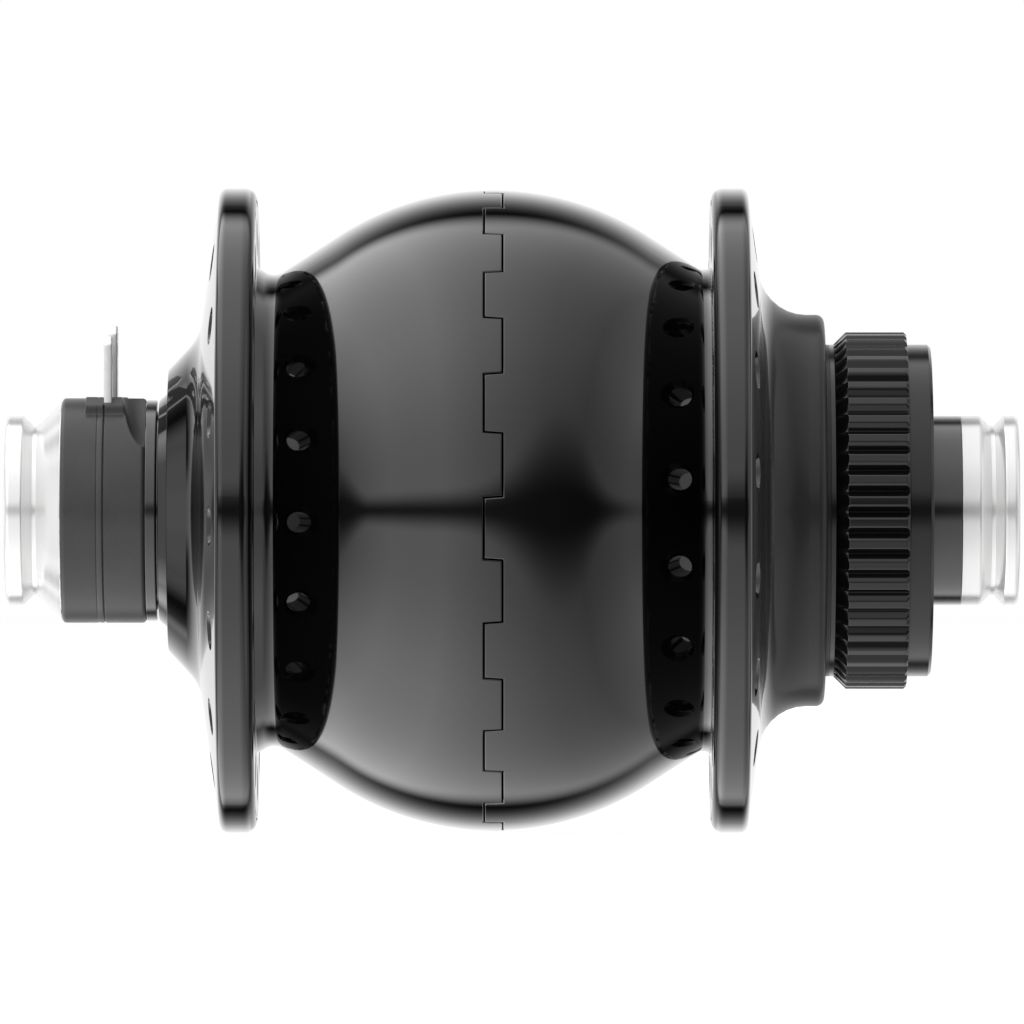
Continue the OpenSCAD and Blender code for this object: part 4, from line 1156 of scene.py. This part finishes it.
@dataclass(frozen=True)
class Studio:
    """White studio: a closed drum of light about the axle, a pale floor and the camera, in metres.

    On the drum are two soft panels, over and under the hub, and a white backdrop behind it. Places in their
    pattern are in millimetres along the axle, and angles in degrees up or down from the front or the back.
    """

    distance: float = 1.45
    height: float = -0.00015
    lens: float = 515.4
    sensor: float = 36.0
    panel_r: float = 1.0
    panel_half: float = 2.5
    panel_level: float = 2.75
    end_levels: tuple[float, float] = (0.85, 0.8)
    spot_y: float = 500.0
    spot_half: float = 350.0
    spot_edges: tuple[float, float] = (5.0, 36.0)
    strip_edge: float = 9.0
    strip_dark: tuple[float, float] = (0.92, 0.3)
    panel_end: tuple[float, float] = (133.5, 120.0)
    backdrop_end: tuple[float, float] = (48.0, 16.0)
    floor_z: float = -0.03186
    floor_half: float = 3.0
    floor_white: float = 1.22
    floor_own: float = 0.8

    @staticmethod
    def sheet(name: str, grid: Array) -> bpy.types.Object:
        """Open sheet from a grid of points in metres."""
        rows, cols = grid.shape[:2]
        index = np.arange(rows * cols).reshape(rows, cols)
        mesh = bpy.data.meshes.new(name)
        mesh.from_pydata(grid.reshape(-1, 3), [], grid_quads(index).tolist())
        made = put(name, mesh)
        return made

    def panels(self, board: Board) -> Link:
        """Level of the two light panels, where the full light is one.

        Along the axle the light is bright left of the middle. In front, a dark strip parts the panels; it is
        narrow but for a spot beside the camera and the left, and it ends before the drum does. Behind, the
        panels end further back to the sides.

        Args:
            board: board of the drum's material.

        Returns:
            The level.
        """
        _, x, y, z = board.place()
        share = (y + PANEL_SPAN / 2) / PANEL_SPAN
        level = board.node("ShaderNodeRGBToBW", None, {
            0: board.node("ShaderNodeValToRGB", {"stops": PANEL_STOPS}, {0: share})})
        up = abs(z).atan2(x) * math.degrees(1.0)
        aside = (y - self.spot_y) / self.spot_half
        wide = math.e ** (0.0 - aside * aside) + y.rise(-1200.0, -2100.0, 0.0, 0.8)
        strip = up.rise(wide * self.spot_edges[0], wide * self.spot_edges[1] + self.strip_edge)
        dark = y.rise(800.0, 1800.0, *self.strip_dark) * y.rise(-2400.0, -2100.0)
        further = abs(y).rise(0.0, 650.0, 0.0, 15.0) * abs(y).rise(1200.0, 800.0)
        back = (up - further).rise(*self.panel_end)
        return level * up.rise(15.0, 75.0, 0.66, 1.0) * (1.0 - (1.0 - strip) * dark) * back

    def backdrop(self, board: Board) -> Link:
        """Level of the white backdrop: one behind the hub, fading upwards and downwards."""
        _, x, _, z = board.place()
        return (abs(z).atan2(0.0 - x) * math.degrees(1.0)).rise(*self.backdrop_end)

    def light(self) -> None:
        """Hangs the drum, which only light and reflections see; its ends fade to a level of their own."""
        t = np.linspace(0.0, 2 * np.pi, 129)[:, None]
        along = np.linspace(-self.panel_half, self.panel_half, 33)
        at = np.concatenate([along[:1], along, along[-1:]])
        r = np.where(np.arange(len(at)) % (len(at) - 1) == 0, 0.0, self.panel_r)
        drum = self.sheet("light_tunnel", np.stack([r * np.cos(t), at + 0 * t, r * np.sin(t)], axis=-1))
        drum.visible_camera = False
        drum.visible_shadow = False
        made, board = blank_material("tunnel_glow")
        _, x, y, z = board.place()
        rim = self.panel_r / MM
        end = x.norm(z).rise(rim * 0.98, rim * 0.3)
        end_level = y.rise(-1.0, 1.0, *self.end_levels) / self.panel_level
        level = self.panels(board) + self.backdrop(board) / self.panel_level
        colour = board.mix(level * (1.0 - end) + end * end_level, grey(0.0), grey(1.0))
        shine = board.node("ShaderNodeEmission", None, {"Color": colour, "Strength": self.panel_level})
        board.node("ShaderNodeOutputMaterial", None, {"Surface": shine})
        drum.data.materials.append(made)

    @staticmethod
    def surround() -> None:
        """White world to the camera, dim to everything else."""
        world = bpy.data.worlds.new("studio_world")
        world.use_nodes = True
        bpy.context.scene.world = world
        board = Board(world.node_tree)
        seen = board.node("ShaderNodeLightPath", out="Is Camera Ray")
        shine = board.node("ShaderNodeBackground", None, {"Color": board.mix(seen, grey(0.03), grey(1.0))})
        board.node("ShaderNodeOutputWorld", None, {"Surface": shine})

    def floor(self) -> None:
        """Lays a pale floor under the flanges: mostly its own white, with the hub's soft shadow on it."""
        side = np.linspace(-self.floor_half, self.floor_half, 9)
        x, y = np.meshgrid(side, side, indexing="ij")
        floor = self.sheet("floor", np.stack([x, y, 0 * x + self.floor_z], axis=-1))
        floor.visible_glossy = False
        floor.visible_diffuse = False
        floor.visible_shadow = False
        made, board = blank_material("pale_floor")
        speck = board.noise(board.place()[0], 0.02, 3.0)
        paint = board.node("ShaderNodeBsdfDiffuse", None, {"Color": board.mix(speck, grey(0.88), grey(0.92))})
        white = board.node("ShaderNodeEmission", None, {"Color": grey(1.0), "Strength": self.floor_white})
        both = board.node("ShaderNodeMixShader", None, {0: self.floor_own, 1: paint, 2: white})
        board.node("ShaderNodeOutputMaterial", None, {"Surface": both})
        floor.data.materials.append(made)

    def camera(self) -> None:
        """Sets the camera in front of the hub, level with the axle."""
        data = bpy.data.cameras.new("camera")
        data.lens = self.lens
        data.sensor_width = self.sensor
        data.clip_end = 20.0
        made = put("camera", data)
        made.location = (self.distance, 0.0, self.height)
        made.rotation_euler = Vector((-1.0, 0.0, 0.0)).to_track_quat("-Z", "Y").to_euler()
        bpy.context.scene.camera = made

    def set_up(self) -> None:
        """Sets up the whole studio."""
        bpy.context.scene.view_settings.view_transform = "Standard"
        self.camera()
        self.surround()
        self.light()
        self.floor()


def dress(pieces: Sequence[bpy.types.Object]) -> None:
    """Gives every new piece and every solid the finish of its slot."""
    finishes = {finish.slot: finish.material() for finish in FINISHES}
    wanted = [(piece, piece["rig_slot"]) for piece in pieces]
    wanted += [(frame["nodes"][part["node"]], part["material_slot"]) for part in frame["record"]["subparts"]]
    for thing, slot in wanted:
        thing.data.materials.clear()
        thing.data.materials.append(finishes[slot])


def main() -> None:
    """Builds the pieces in order, dresses them and sets up the studio."""
    logging.basicConfig(level=logging.INFO, format="%(name)s: %(message)s")
    pieces = [settle(left_half().build(), Body.HUB_SHELL, "black_anodised", "left_shell"),
              settle(right_half().build(), Body.HUB_SHELL, "black_anodised", "right_shell"),
              settle(RotorSeat().build(), Body.HUB_SHELL, "black_anodised", "right_shell")]
    pieces += TerminalBlock().build()
    pieces += [part.build() for part in TURNED_PARTS]
    for piece in pieces:
        LOG.info("%s: %d faces", piece.name, len(piece.data.polygons))
    dress(pieces)
    Studio().set_up()


if __name__ == "__main__":
    main()
